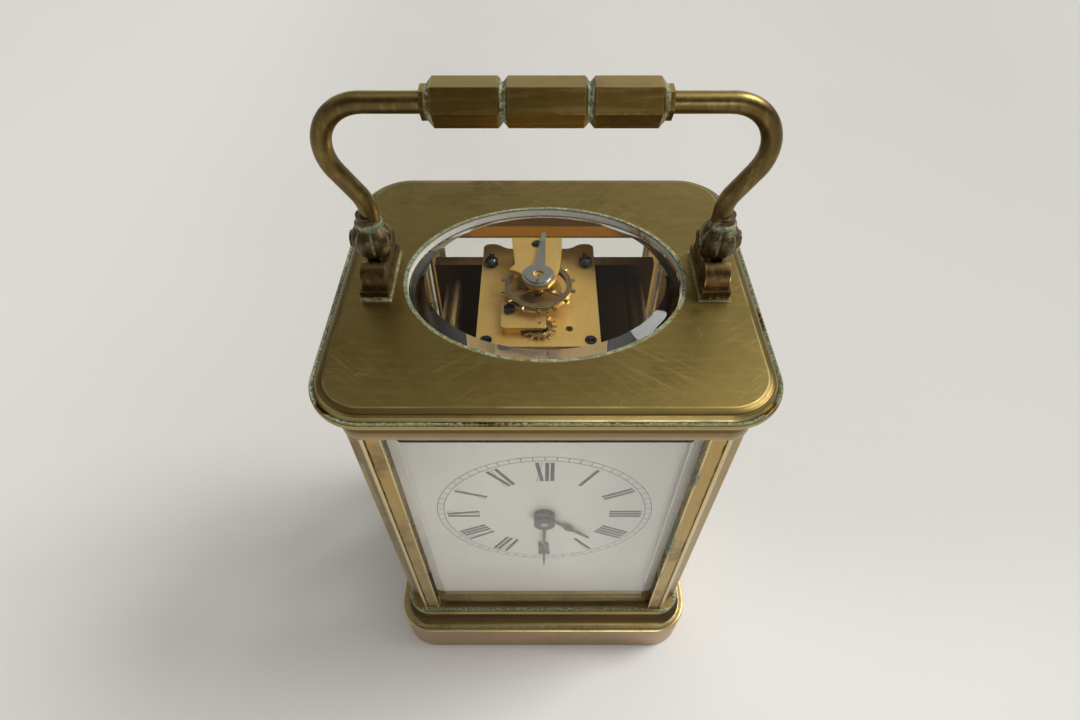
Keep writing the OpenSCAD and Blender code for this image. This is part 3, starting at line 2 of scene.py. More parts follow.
# # A brass carriage clock, dressed for its portrait
# The clock's metal, glass and moving parts come in as a finished frame, already in real
# sizes and in metres. This lesson adds what a maker adds last: the aged finish of the
# brass, the glass, the printed dial, the fine coil under the balance, and a plain studio.
# The frame is loaded first.

# %% Load the clock
import json
import math
import bpy
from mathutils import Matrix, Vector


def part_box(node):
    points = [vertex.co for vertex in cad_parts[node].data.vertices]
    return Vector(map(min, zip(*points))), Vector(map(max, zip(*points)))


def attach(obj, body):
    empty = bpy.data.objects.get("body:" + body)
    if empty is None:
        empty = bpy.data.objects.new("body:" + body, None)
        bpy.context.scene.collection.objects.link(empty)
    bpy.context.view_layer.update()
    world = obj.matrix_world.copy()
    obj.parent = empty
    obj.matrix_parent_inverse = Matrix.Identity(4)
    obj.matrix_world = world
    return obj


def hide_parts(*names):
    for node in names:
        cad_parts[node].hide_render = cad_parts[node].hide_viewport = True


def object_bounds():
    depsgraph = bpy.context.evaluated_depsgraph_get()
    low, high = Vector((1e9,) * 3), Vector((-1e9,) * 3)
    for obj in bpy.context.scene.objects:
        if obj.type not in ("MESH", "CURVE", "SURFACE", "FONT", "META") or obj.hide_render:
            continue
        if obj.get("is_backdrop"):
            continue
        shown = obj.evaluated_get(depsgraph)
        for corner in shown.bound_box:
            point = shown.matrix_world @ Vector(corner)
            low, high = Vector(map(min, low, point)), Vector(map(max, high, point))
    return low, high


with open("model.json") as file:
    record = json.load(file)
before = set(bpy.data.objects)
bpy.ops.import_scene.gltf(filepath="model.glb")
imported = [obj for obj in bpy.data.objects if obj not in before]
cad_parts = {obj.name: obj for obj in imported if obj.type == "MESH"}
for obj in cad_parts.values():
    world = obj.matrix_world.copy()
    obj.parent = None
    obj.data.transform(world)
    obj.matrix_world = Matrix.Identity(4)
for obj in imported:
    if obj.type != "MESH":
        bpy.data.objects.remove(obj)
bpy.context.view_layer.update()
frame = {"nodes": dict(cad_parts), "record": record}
parts = frame["nodes"]
MM = 0.001
print("parts loaded:", len(parts))

# %% [markdown]
# ## The camera
# The photograph was taken from close by, above and in front of the clock, so near things
# look much larger than far ones. Only a wide lens held near the clock gives that strong
# taper from the top plate down to the foot. The camera looks down about 49 degrees.

# %% Place the camera
camera_data = bpy.data.cameras.new("portrait_camera")
camera_data.sensor_width = 36
camera_data.lens = 20.78
camera_data.clip_start = 0.01
camera = bpy.data.objects.new("portrait_camera", camera_data)
camera.location = (-0.00097, -0.0883, 0.1908)
camera.rotation_euler = (math.radians(40.53), 0, 0)
bpy.context.scene.collection.objects.link(camera)
bpy.context.scene.camera = camera
print("camera stands", round(camera.location.z * 1000), "mm above the table")

# %% [markdown]
# ## Small tools for building materials
# A material is a chain of nodes, and writing each one out by hand hides the idea behind
# the wiring. `put` adds one node and fills or links its sockets. `calc` is one step of
# arithmetic, and `times`, `plus`, `minus`, `larger`, `size_of` and `distance` are short
# names for the steps that are used most. `blend_colour` mixes two colours. `between` turns
# a number into a soft mask that climbs from one value to the other, and `band` makes a
# mask that is full near one value only.

# %% Node helpers
def put(tree, kind, inputs=None, **settings):
    made = tree.nodes.new("ShaderNode" + kind)
    for name, value in settings.items():
        setattr(made, name, value)
    for key, value in (inputs or {}).items():
        if isinstance(value, bpy.types.NodeSocket):
            tree.links.new(value, made.inputs[key])
        else:
            made.inputs[key].default_value = value
    return made


def calc(tree, operation, first, second=0.0):
    made = put(tree, "Math", {0: first, 1: second}, operation=operation)
    return made.outputs[0]


def times(tree, first, second):
    return calc(tree, "MULTIPLY", first, second)


def plus(tree, first, second):
    return calc(tree, "ADD", first, second)


def minus(tree, first, second):
    return calc(tree, "SUBTRACT", first, second)


def larger(tree, first, second):
    return calc(tree, "MAXIMUM", first, second)


def size_of(tree, value):
    return calc(tree, "ABSOLUTE", value)


def distance(tree, first, second):
    return calc(tree, "SQRT", plus(tree, times(tree, first, first), times(tree, second, second)))


def opaque(colour):
    return (*colour, 1) if isinstance(colour, tuple) else colour


def blend_colour(tree, factor, low, high):
    return put(tree, "Mix", {0: factor, 6: opaque(low), 7: opaque(high)},
               data_type="RGBA").outputs[2]


def between(tree, value, low, high):
    ranged = put(tree, "MapRange", {"Value": value, "From Min": low, "From Max": high},
                 interpolation_type="SMOOTHSTEP")
    return ranged.outputs[0]


def band(tree, value, centre, half):
    off = size_of(tree, minus(tree, value, centre))
    return minus(tree, 1.0, between(tree, off, half * 0.6, half * 1.5))


def axes(tree, spot):
    return put(tree, "SeparateXYZ", {0: spot}).outputs


def place(tree, shift=(0, 0, 0), turn=(0, 0, 0)):
    where = put(tree, "TexCoord")
    return put(tree, "Mapping", {"Vector": where.outputs["Object"], "Location": shift,
                                 "Rotation": turn}).outputs[0]


print("node helpers ready")

# %% [markdown]
# ## Effects that several metals share
# Old brass is never one colour. It clouds over where hands and polish do not reach, it
# carries fine lines from a century of rubbing, it brightens on corners, and green crust
# grows where polish is left in a groove. Each effect is one node group with named inputs,
# so that every metal can ask for its own amount.

# %% A blank node group
def new_group(name, inputs, outputs):
    group = bpy.data.node_groups.new(name, "ShaderNodeTree")
    for label, value in inputs.items():
        kind = "NodeSocketVector" if isinstance(value, tuple) else "NodeSocketFloat"
        socket = group.interface.new_socket(name=label, in_out="INPUT", socket_type=kind)
        socket.default_value = value
    for label in outputs:
        group.interface.new_socket(name=label, in_out="OUTPUT", socket_type="NodeSocketFloat")
    return group, group.nodes.new("NodeGroupInput"), group.nodes.new("NodeGroupOutput")


def use(tree, name, **inputs):
    made = tree.nodes.new("ShaderNodeGroup")
    made.node_tree = bpy.data.node_groups[name]
    for label, value in inputs.items():
        key = label.replace("_", " ")
        if isinstance(value, bpy.types.NodeSocket):
            tree.links.new(value, made.inputs[key])
        else:
            made.inputs[key].default_value = value
    return made.outputs


print("groups can be built")

# %% [markdown]
# **Clouds of tarnish.** Two sizes of noise are laid over each other: broad patches, and
# small mottling inside them. Noise is used rather than a picture because it has no seam
# and wraps round every moulding.

# %% Tarnish clouds
clouds, cloud_in, cloud_out = new_group(
    "tarnish_clouds", {"Vector": (0.0, 0.0, 0.0), "Size": 60.0, "Cover": 0.5}, ["Clouds", "Mottle"])
broad = put(clouds, "TexNoise", {
    "Vector": cloud_in.outputs["Vector"], "Scale": cloud_in.outputs["Size"], "Detail": 4.0,
    "Roughness": 0.6, "Distortion": 0.6})
fine_size = times(clouds, cloud_in.outputs["Size"], 9.0)
fine = put(clouds, "TexNoise", {"Vector": cloud_in.outputs["Vector"], "Scale": fine_size,
                                "Detail": 3.0, "Roughness": 0.65})
together = plus(clouds, times(clouds, broad.outputs[0], 0.75), times(clouds, fine.outputs[0], 0.25))
low_edge = minus(clouds, 0.72, times(clouds, cloud_in.outputs["Cover"], 0.5))
high_edge = plus(clouds, low_edge, 0.2)
clouds.links.new(between(clouds, together, low_edge, high_edge), cloud_out.inputs["Clouds"])
clouds.links.new(fine.outputs[0], cloud_out.inputs["Mottle"])
print("group:", clouds.name)

# %% [markdown]
# **Rubbing lines.** Cloth and abrasive leave lines that run one way but wander a little.
# The coordinates are stretched, so that round noise becomes long thin streaks, and bent
# first by a slow noise, so that no two streaks stay parallel for long.

# %% Rubbing lines and stray scratches
lines, line_in, line_out = new_group(
    "rubbing_lines",
    {"Vector": (0.0, 0.0, 0.0), "Stretch": (60.0, 1500.0, 1500.0), "Wander": 0.002},
    ["Lines", "Scratches"])
drift = put(lines, "TexNoise", {"Vector": line_in.outputs["Vector"], "Scale": 30.0, "Detail": 1.0})
centred = put(lines, "VectorMath", {0: drift.outputs["Color"], 1: (0.5, 0.5, 0.5)},
              operation="SUBTRACT")
amount = put(lines, "VectorMath", {0: centred.outputs[0], "Scale": line_in.outputs["Wander"]},
             operation="SCALE")
bent = put(lines, "VectorMath", {0: line_in.outputs["Vector"], 1: amount.outputs[0]},
           operation="ADD")
drawn = put(lines, "VectorMath", {0: bent.outputs[0], 1: line_in.outputs["Stretch"]},
            operation="MULTIPLY")
streaks = put(lines, "TexNoise", {"Vector": drawn.outputs[0], "Scale": 1.0, "Detail": 3.0,
                                  "Roughness": 0.6})
wander = put(lines, "TexNoise", {"Vector": line_in.outputs["Vector"], "Scale": 95.0, "Detail": 2.0})
near_half = size_of(lines, minus(lines, wander.outputs[0], 0.5))
hairline = minus(lines, 1.0, between(lines, near_half, 0.0, 0.006))
patch = put(lines, "TexNoise", {"Vector": line_in.outputs["Vector"], "Scale": 160.0, "Detail": 1.0})
broken = times(lines, hairline, between(lines, patch.outputs[0], 0.52, 0.62))
lines.links.new(streaks.outputs[0], line_out.inputs["Lines"])
lines.links.new(broken, line_out.inputs["Scratches"])
print("group:", lines.name)

# %% [markdown]
# **Bright corners.** Corners are rubbed bare first. A bevel node gives the normal that
# the surface would have with its edges rounded off. Where that differs from the true
# normal, there is an edge, and the mask is broken up with noise, so that it looks worn.

# %% Edge wear
wear, wear_in, wear_out = new_group(
    "edge_wear", {"Vector": (0.0, 0.0, 0.0), "Radius": 0.0004, "Amount": 1.0}, ["Worn"])
rounded = put(wear, "Bevel", {"Radius": wear_in.outputs["Radius"]}, samples=4)
flat = put(wear, "NewGeometry")
alike = put(wear, "VectorMath", {0: rounded.outputs[0], 1: flat.outputs["Normal"]},
            operation="DOT_PRODUCT")
edge = between(wear, minus(wear, 1.0, alike.outputs["Value"]), 0.01, 0.14)
rub = put(wear, "TexNoise", {"Vector": wear_in.outputs["Vector"], "Scale": 420.0, "Detail": 3.0})
rubbed = times(wear, edge, between(wear, rub.outputs[0], 0.3, 0.6))
wear.links.new(times(wear, rubbed, wear_in.outputs["Amount"]), wear_out.inputs["Worn"])
print("group:", wear.name)

# %% [markdown]
# **Green crust.** Dried polish and verdigris gather in grooves. The material says where a
# groove runs, as a mask, and this group breaks that mask into crumbs, so that the line is
# thick in one place and gone in the next.

# %% Verdigris crust
crust, crust_in, crust_out = new_group(
    "green_crust", {"Vector": (0.0, 0.0, 0.0), "Where": 0.0, "Amount": 0.6}, ["Crust", "Pale"])
crumb = put(crust, "TexNoise", {"Vector": crust_in.outputs["Vector"], "Scale": 1700.0,
                                "Detail": 3.0, "Roughness": 0.7})
spread = put(crust, "TexNoise", {"Vector": crust_in.outputs["Vector"], "Scale": 75.0,
                                 "Detail": 2.0})
mixed = plus(crust, times(crust, crumb.outputs[0], 0.3), times(crust, spread.outputs[0], 0.7))
reach = minus(crust, 0.78, times(crust, crust_in.outputs["Amount"], 0.5))
held = times(crust, between(crust, mixed, reach, plus(crust, reach, 0.12)),
             crust_in.outputs["Where"])
crust.links.new(held, crust_out.inputs["Crust"])
crust.links.new(between(crust, crumb.outputs[0], 0.4, 0.65), crust_out.inputs["Pale"])
print("group:", crust.name)

# %% [markdown]
# ## The brass of the case
# One recipe serves the whole case, but each piece has aged in its own way: the top plate
# is olive and rubbed across, the handle is brown from hands, and the foot has turned
# coppery. For the handle the recipe also paints shade: it mixes a darker side colour by the
# direction of the surface, so faces that do not look up are painted darker. It also takes
# the direction of the rubbing and masks for what sits in one place only. Metal stays metal,
# and only the crust is dull.
#
# `crossed` lays two slanted sets of rubs over the first, in patches, as on the top plate.
# `zones` gives colours of their own to named places, among them painted shade and painted
# highlights. `groove` says where the green crust runs, and a second mask where that crust is
# painted white instead, as a painted highlight. `relief` is carving.

# %% The case brass recipe
# The white crust colour is a painted highlight on the oval window's wall.
VERDIGRIS, PALE_GREEN, WHITE_CRUST_HIGHLIGHT = (0.14, 0.165, 0.08), (0.44, 0.49, 0.34), (0.60, 0.61, 0.55)
CROSSED_TURNS = (0.7, 2.5)


def start_material(name):
    material = bpy.data.materials.new(name)
    material.use_nodes = True
    material.node_tree.nodes.clear()
    return material, material.node_tree


def close_material(tree, surface):
    out = tree.nodes.new("ShaderNodeOutputMaterial")
    tree.links.new(surface, out.inputs["Surface"])


def facing_up(tree, low=0.72, high=0.95):
    where = put(tree, "TexCoord")
    return between(tree, axes(tree, where.outputs["Normal"])[2], low, high)


def dim(colour, share):
    return tuple(value * share for value in colour)


def slanted_rubs(tree, turn):
    slanted = place(tree, shift=(turn, turn, 0), turn=(0, 0, turn))
    rub = use(tree, "rubbing_lines", Vector=slanted, Stretch=(70.0, 1700.0, 600.0), Wander=0.006)
    patches = put(tree, "TexNoise", {"Vector": slanted, "Scale": 45.0, "Detail": 3.0})
    return times(tree, between(tree, rub["Lines"], 0.5, 0.68),
                 between(tree, patches.outputs[0], 0.46, 0.64))


def aged_brass(name, clean, tarnish, bright, stretch, side=None, cover=0.5, gloss=0.3, groove=None,
               crust_amount=0.5, relief=None, zones=None, scratches=0.08, size=60.0, crossed=0.0,
               white_crust_highlight=None):
    material, tree = start_material(name)
    spot = place(tree)
    cloud = use(tree, "tarnish_clouds", Vector=spot, Cover=cover, Size=size)
    line = use(tree, "rubbing_lines", Vector=spot, Stretch=stretch)
    worn = use(tree, "edge_wear", Vector=spot, Radius=0.0004, Amount=1.0)["Worn"]
    colour = blend_colour(tree, cloud["Clouds"], clean, tarnish)
    # Painted shade: faces that do not look up take the darker side colour.
    if side:
        flank_shade = blend_colour(tree, times(tree, cloud["Clouds"], 0.6), side, dim(side, 0.5))
        colour = blend_colour(tree, facing_up(tree), flank_shade, colour)
    streak = times(tree, between(tree, line["Lines"], 0.45, 0.75), 0.22)
    colour = blend_colour(tree, streak, colour, bright)
    colour = blend_colour(tree, times(tree, line["Scratches"], scratches), colour, bright)
    for turn in (CROSSED_TURNS if crossed else ()):
        colour = blend_colour(tree, times(tree, slanted_rubs(tree, turn), crossed), colour, bright)
    if zones:
        patchy = use(tree, "tarnish_clouds", Vector=spot, Cover=0.5, Size=24.0)["Clouds"]
        patchy = times(tree, patchy, 0.4)
        for mask, zone_colour in zones(tree, spot):
            mottled = blend_colour(tree, patchy, zone_colour, dim(zone_colour, 0.6))
            colour = blend_colour(tree, mask, colour, mottled)
    colour = blend_colour(tree, worn, colour, bright)
    where = groove(tree, spot) if groove else 0.0
    green = use(tree, "green_crust", Vector=spot, Where=where, Amount=crust_amount)
    crust_colour = blend_colour(tree, green["Pale"], VERDIGRIS, PALE_GREEN)
    # Painted highlight: where the second mask is full, the crust is painted white.
    if white_crust_highlight:
        crust_colour = blend_colour(tree, white_crust_highlight(tree, spot), crust_colour, WHITE_CRUST_HIGHLIGHT)
    colour = blend_colour(tree, green["Crust"], colour, crust_colour)
    rough = plus(tree, gloss, times(tree, cloud["Clouds"], 0.12))
    rough = plus(tree, rough, times(tree, cloud["Mottle"], 0.1))
    rough = minus(tree, rough, times(tree, worn, 0.08))
    rough = plus(tree, rough, times(tree, green["Crust"], 0.5))
    height = plus(tree, times(tree, line["Lines"], 0.3), times(tree, cloud["Mottle"], 0.3))
    height = plus(tree, height, times(tree, green["Crust"], 3.0))
    bump = put(tree, "Bump", {"Strength": 0.35, "Distance": 0.00004, "Height": height})
    if relief:
        bump = put(tree, "Bump", {"Strength": 0.9, "Distance": 0.0005, "Height": relief(tree),
                                  "Normal": bump.outputs[0]})
    body = put(tree, "BsdfPrincipled", {
        "Base Color": colour, "Metallic": minus(tree, 1.0, green["Crust"]), "Roughness": rough,
        "Normal": bump.outputs[0]})
    close_material(tree, body.outputs[0])
    return material


print("recipe ready")

# %% [markdown]
# ** Where the crust sits on the top plate.** The oval glass is bedded in a rebate, and the
# join is filled with old polish all the way round. The place is written as a formula: the
# distance from the ellipse of the window, plus the line under the rounded moulding, plus
# a thin border round each foot of the handle. On the window's wall below the top the crust
# is painted white, as a painted highlight. `climb` is `between` with its two ends in millimetres.

# %% Grooves of the top plate
CASE_HALF = (35.6 * MM, 29.8 * MM)
OVAL_HALF = (25.8 * MM, 20.8 * MM)
HANDLE_X = 30.7 * MM
HANDLE_FOOT_HALF = (2.55 * MM, 6.7 * MM)


def climb(tree, value, low, high):
    return between(tree, value, low * MM, high * MM)


def beyond_box(tree, along, deep, half):
    side = minus(tree, size_of(tree, along), half[0])
    end = minus(tree, size_of(tree, deep), half[1])
    return larger(tree, side, end)


def beyond_case(tree, spot):
    along, deep = axes(tree, spot)[:2]
    return beyond_box(tree, along, deep, CASE_HALF)


def around_oval(tree, spot):
    along, deep, up = axes(tree, spot)
    reach = distance(tree, calc(tree, "DIVIDE", along, OVAL_HALF[0]),
                     calc(tree, "DIVIDE", deep, OVAL_HALF[1]))
    rim = times(tree, band(tree, reach, 1.012, 0.014), climb(tree, up, 111.9, 111.98))
    seat = times(tree, between(tree, reach, 1.006, 1.002), band(tree, up, 110.95 * MM, 0.7 * MM))
    return larger(tree, rim, seat)


# Painted highlight: the window's wall below the top, where the crust is painted white.
def oval_wall_highlight(tree, spot):
    below_top = climb(tree, axes(tree, spot)[2], 111.9, 111.75)
    return times(tree, climb(tree, beyond_case(tree, spot), 0.0, -1.0), below_top)


def around_foot(tree, spot):
    along, deep = axes(tree, spot)[:2]
    from_foot = minus(tree, size_of(tree, along), HANDLE_X)
    border = beyond_box(tree, from_foot, deep, HANDLE_FOOT_HALF)
    return times(tree, band(tree, border, 0.1 * MM, 0.2 * MM), 0.75)


def top_grooves(tree, spot):
    up = axes(tree, spot)[2]
    rings = larger(tree, around_oval(tree, spot), around_foot(tree, spot))
    on_top = climb(tree, up, 109.8, 110.2)
    outside = climb(tree, beyond_case(tree, spot), 1.0, 1.5)
    outside = times(tree, facing_up(tree, 0.62, 0.8), outside)
    ledge = band(tree, up, 110.54 * MM, 0.18 * MM)
    return larger(tree, times(tree, rings, on_top), times(tree, ledge, outside))


print("top plate grooves ready")

# %% [markdown]
# ** Zones of colour.** Each lip and roll has its own colour, and a zone is a mask by height or
# by distance from the corner. Several zones are painted light: the cove of the foot, the
# seams, the shoulder of the top's roll, the rail under the lip, the left end of the top and
# the hollows of the pillars are painted shade; the edge lines of the top, the foot and the
# pillars are painted highlights on rubbed edges; and the door's inner face is painted bright
# gold to stand in for light. Later zones lie over earlier ones, so the plain rail comes first
# and its darker lines after it.

# %% Zones of the case
# The cove colour of the foot is painted shade.
BASE_COVE_SHADE, BASE_BAND = (0.085, 0.055, 0.018), (0.44, 0.285, 0.15)
TOP_RAIL, TOP_LIP, TOP_ROLL = (0.37, 0.30, 0.19), (0.40, 0.31, 0.11), (0.34, 0.265, 0.115)
# The dark olive is painted shade, under the lip and at the left end of the top.
WARM_BROWN, OLIVE_SHADE = (0.30, 0.19, 0.08), (0.13, 0.088, 0.03)
# Both colours are painted shade: in the seams, and on the shoulder of the top's roll.
SEAM_SHADE, SHOULDER_SHADE = (0.05, 0.032, 0.01), (0.165, 0.115, 0.036)
# The rubbed gold is a painted highlight on rubbed edges, and the inner gold is painted light on the
# door's inner face.
RUBBED_HIGHLIGHT_GOLD, INNER_FACE_LIGHT_GOLD = (0.60, 0.48, 0.20), (0.85, 0.50, 0.15)
# The crest colour is a painted highlight on rubbed metal, and the hollow colour is painted shade.
PILLAR_CREST_HIGHLIGHT, PILLAR_HOLLOW_SHADE = (0.70, 0.55, 0.28), (0.27, 0.21, 0.12)


def base_zones(tree, spot):
    up = axes(tree, spot)[2]
    # Painted shade in the cove of the foot.
    cove_shade = times(tree, climb(tree, up, 12.9, 13.4), climb(tree, up, 17.6, 17.2))
    plain_band = climb(tree, up, 12.4, 12.1)
    # Painted highlight along the rubbed edge of the foot's band.
    worn_edge_highlight = band(tree, up, 12.3 * MM, 0.12 * MM)
    return [(cove_shade, BASE_COVE_SHADE), (plain_band, BASE_BAND), (worn_edge_highlight, RUBBED_HIGHLIGHT_GOLD)]


def top_zones(tree, spot):
    along, deep, up = axes(tree, spot)
    rail = climb(tree, up, 108.7, 108.2)
    # Painted shade on the rail under the lip.
    shade_under_lip = times(tree, rail, climb(tree, up, 103.1, 103.7))
    warm_line = times(tree, rail, climb(tree, up, 102.1, 102.6))
    behind = climb(tree, deep, 19.0, 21.0)
    inside = times(tree, climb(tree, beyond_case(tree, spot), -0.7, -1.0), behind)
    inside = times(tree, inside, rail)
    lip = times(tree, climb(tree, up, 110.5, 110.4), climb(tree, up, 108.7, 109.0))
    roll = times(tree, climb(tree, up, 110.6, 110.8), climb(tree, up, 111.6, 111.2))
    # Painted shade: a dark band in the groove under the roll, and on the shoulder above it.
    seam_shade = band(tree, up, 110.55 * MM, 0.1 * MM)
    shoulder_shade = times(tree, climb(tree, up, 111.5, 111.65), climb(tree, up, 111.98, 111.965))
    gaps = put(tree, "TexNoise", {"Vector": spot, "Scale": 70.0, "Detail": 3.0})
    # Painted highlight: a bright broken line along the rubbed edge of the top.
    rubbed = times(tree, climb(tree, up, 111.97, 111.98), climb(tree, up, 111.9995, 111.998))
    rubbed = times(tree, rubbed, between(tree, gaps.outputs[0], 0.38, 0.58))
    # Painted shade at the left end of the top.
    shaded = times(tree, climb(tree, along, -35.8, -36.6), climb(tree, up, 110.5, 110.7))
    return [(rail, TOP_RAIL), (warm_line, WARM_BROWN), (shade_under_lip, OLIVE_SHADE),
            (inside, WARM_BROWN), (lip, TOP_LIP), (roll, TOP_ROLL), (seam_shade, SEAM_SHADE),
            (shoulder_shade, SHOULDER_SHADE), (rubbed, RUBBED_HIGHLIGHT_GOLD),
            (times(tree, shaded, 0.6), OLIVE_SHADE)]


def door_zones(tree, spot):
    # Painted light: the door's inner face is painted bright gold to stand in for light it does not
    # get.
    lit_inner_face = climb(tree, axes(tree, spot)[1], 27.6, 27.45)
    return [(lit_inner_face, INNER_FACE_LIGHT_GOLD)]


def pillar_zones(tree, spot):
    along, deep = axes(tree, spot)[:2]
    from_corner = larger(tree, minus(tree, CASE_HALF[0], size_of(tree, along)),
                         minus(tree, CASE_HALF[1], size_of(tree, deep)))
    # Painted shade in the hollow of the corner; painted highlights on the rubbed crest and the
    # inner edge.
    hollow_shade = climb(tree, from_corner, 3.5, 3.2)
    crest_highlight = band(tree, from_corner, 4.0 * MM, 0.3 * MM)
    inner_edge_highlight = band(tree, from_corner, 7.35 * MM, 0.14 * MM)
    # Painted shade in the seam of the pillar.
    seam_shade = band(tree, from_corner, 4.7 * MM, 0.16 * MM)
    return [(hollow_shade, PILLAR_HOLLOW_SHADE), (crest_highlight, PILLAR_CREST_HIGHLIGHT), (inner_edge_highlight, PILLAR_CREST_HIGHLIGHT),
            (seam_shade, SEAM_SHADE)]


print("zones ready")

# %% [markdown]
# **The foot, the pillars and the handle.** On the foot the crust lines the ledge where the
# pillars stand, and on the pillars it follows the edge beside the glass. On the grip it
# sits in the two vee grooves and behind the end collars, and each knuckle of the handle
# is carved with upright leaves, which the relief draws as waves round its own axis.

# %% Grooves of the foot, pillars, grip and knuckles
def base_grooves(tree, spot):
    up = axes(tree, spot)[2]
    ledge = times(tree, band(tree, beyond_case(tree, spot), 0.1 * MM, 0.4 * MM),
                  climb(tree, up, 18.2, 18.6))
    step = times(tree, band(tree, up, 12.75 * MM, 0.1 * MM), 0.45)
    return larger(tree, ledge, step)


def pillar_grooves(tree, spot):
    along, deep, up = axes(tree, spot)
    front = band(tree, size_of(tree, along), 28.2 * MM, 0.35 * MM)
    side = band(tree, size_of(tree, deep), 22.4 * MM, 0.35 * MM)
    foot = minus(tree, 1.0, climb(tree, up, 19.0, 20.2))
    return larger(tree, larger(tree, front, side), foot)


def grip_grooves(tree, spot):
    along = size_of(tree, axes(tree, spot)[0])
    vee_groove = band(tree, along, 6.35 * MM, 0.4 * MM)
    return larger(tree, vee_groove, band(tree, along, 17.4 * MM, 0.35 * MM))


def foot_grooves(tree, spot):
    return minus(tree, 1.0, climb(tree, axes(tree, spot)[2], 112.2, 113.0))


def leaf_waves(tree, spot):
    along, deep = axes(tree, spot)[:2]
    turn = calc(tree, "ARCTAN2", deep, minus(tree, size_of(tree, along), HANDLE_X))
    return size_of(tree, calc(tree, "SINE", times(tree, turn, 3.5)))


def knuckle_grooves(tree, spot):
    up = axes(tree, spot)[2]
    crease = times(tree, between(tree, leaf_waves(tree, spot), 0.3, 0.1),
                   band(tree, up, 121.6 * MM, 1.8 * MM))
    return larger(tree, times(tree, crease, 0.7), band(tree, up, 124.2 * MM, 0.5 * MM))


def knuckle_leaves(tree):
    spot = place(tree)
    belly = band(tree, axes(tree, spot)[2], 120.6 * MM, 2.4 * MM)
    return times(tree, calc(tree, "POWER", leaf_waves(tree, spot), 0.5), belly)


print("other grooves ready")

# %% [markdown]
# ** Eight brasses.** Each takes three colours: the clean metal, the tarnish that clouds it,
# and the bright metal of rubbed edges. The four brasses of the handle also take a darker
# side colour, which is painted shade. `stretch` is small along the rubbing and large
# across it, so the grip is rubbed along its length and a pillar upwards.

# %% Mix the case brasses
top_brass = aged_brass(
    "brass_top_plate", (0.41, 0.30, 0.092), (0.225, 0.16, 0.044), (0.66, 0.51, 0.20),
    stretch=(90.0, 1500.0, 600.0), gloss=0.26, groove=top_grooves, crust_amount=0.85,
    zones=top_zones, scratches=0.4, size=48.0, crossed=0.32, white_crust_highlight=oval_wall_highlight)
base_brass = aged_brass(
    "brass_foot", (0.32, 0.23, 0.09), (0.19, 0.12, 0.045), (0.56, 0.42, 0.18), cover=0.45,
    stretch=(60.0, 60.0, 1500.0), gloss=0.26, groove=base_grooves, crust_amount=0.8,
    zones=base_zones)
pillar_brass = aged_brass(
    "brass_pillars", (0.42, 0.29, 0.10), (0.23, 0.14, 0.06), (0.60, 0.45, 0.19),
    stretch=(1500.0, 1500.0, 60.0), gloss=0.16, groove=pillar_grooves, crust_amount=0.55,
    zones=pillar_zones, size=42.0)
rod_brass = aged_brass(
    "brass_handle_rods", (0.36, 0.265, 0.085), (0.24, 0.17, 0.052), (0.50, 0.38, 0.14),
    side=(0.135, 0.092, 0.032), cover=0.45, stretch=(900.0, 900.0, 300.0))
grip_brass = aged_brass(
    "brass_grip", (0.46, 0.33, 0.10), (0.33, 0.23, 0.065), (0.52, 0.40, 0.16),
    side=(0.18, 0.11, 0.026), cover=0.4, stretch=(90.0, 1500.0, 1500.0), gloss=0.27,
    groove=grip_grooves, crust_amount=0.75)
knuckle_brass = aged_brass(
    "brass_knuckles", (0.16, 0.12, 0.05), (0.09, 0.062, 0.028), (0.36, 0.28, 0.14),
    side=(0.085, 0.06, 0.028), stretch=(900.0, 900.0, 300.0), gloss=0.4,
    groove=knuckle_grooves, crust_amount=0.8, relief=knuckle_leaves)
lug_brass = aged_brass(
    "brass_handle_feet", (0.17, 0.105, 0.04), (0.09, 0.055, 0.02), (0.50, 0.37, 0.14),
    side=(0.10, 0.058, 0.022), cover=0.55, stretch=(900.0, 900.0, 300.0),
    groove=foot_grooves, crust_amount=0.7, size=140.0)
door_brass = aged_brass(
    "brass_rear_door", (0.34, 0.235, 0.09), (0.20, 0.125, 0.045), (0.62, 0.47, 0.20),
    cover=0.4, stretch=(1500.0, 1500.0, 60.0), gloss=0.25, zones=door_zones)
print("case brasses mixed")

# %% [markdown]
# ## The brass of the movement
# Inside the glass the metal has kept its gilding: pale gold, matte, with a fine even
# grain. Shade inside the movement is painted: faces of the plates that do not look up, except
# the back plate's rear face, take a near-black side colour, and the movement pillars are
# painted a very dark amber. The wheels are turned and polished brass, so they carry lines
# round their own arbor. A spun line needs a centre, which the recipe takes as a point and an axis.

# %% Gilt plates and turned wheels
HUB_HEIGHT = 64.5


def bare_metal(material, tree, colour, rough, grain, strength=0.3):
    bump = put(tree, "Bump", {"Strength": strength, "Distance": 0.00003, "Height": grain})
    body = put(tree, "BsdfPrincipled", {"Base Color": colour, "Metallic": 1.0, "Roughness": rough,
                                        "Normal": bump.outputs[0]})
    close_material(tree, body.outputs[0])
    return material


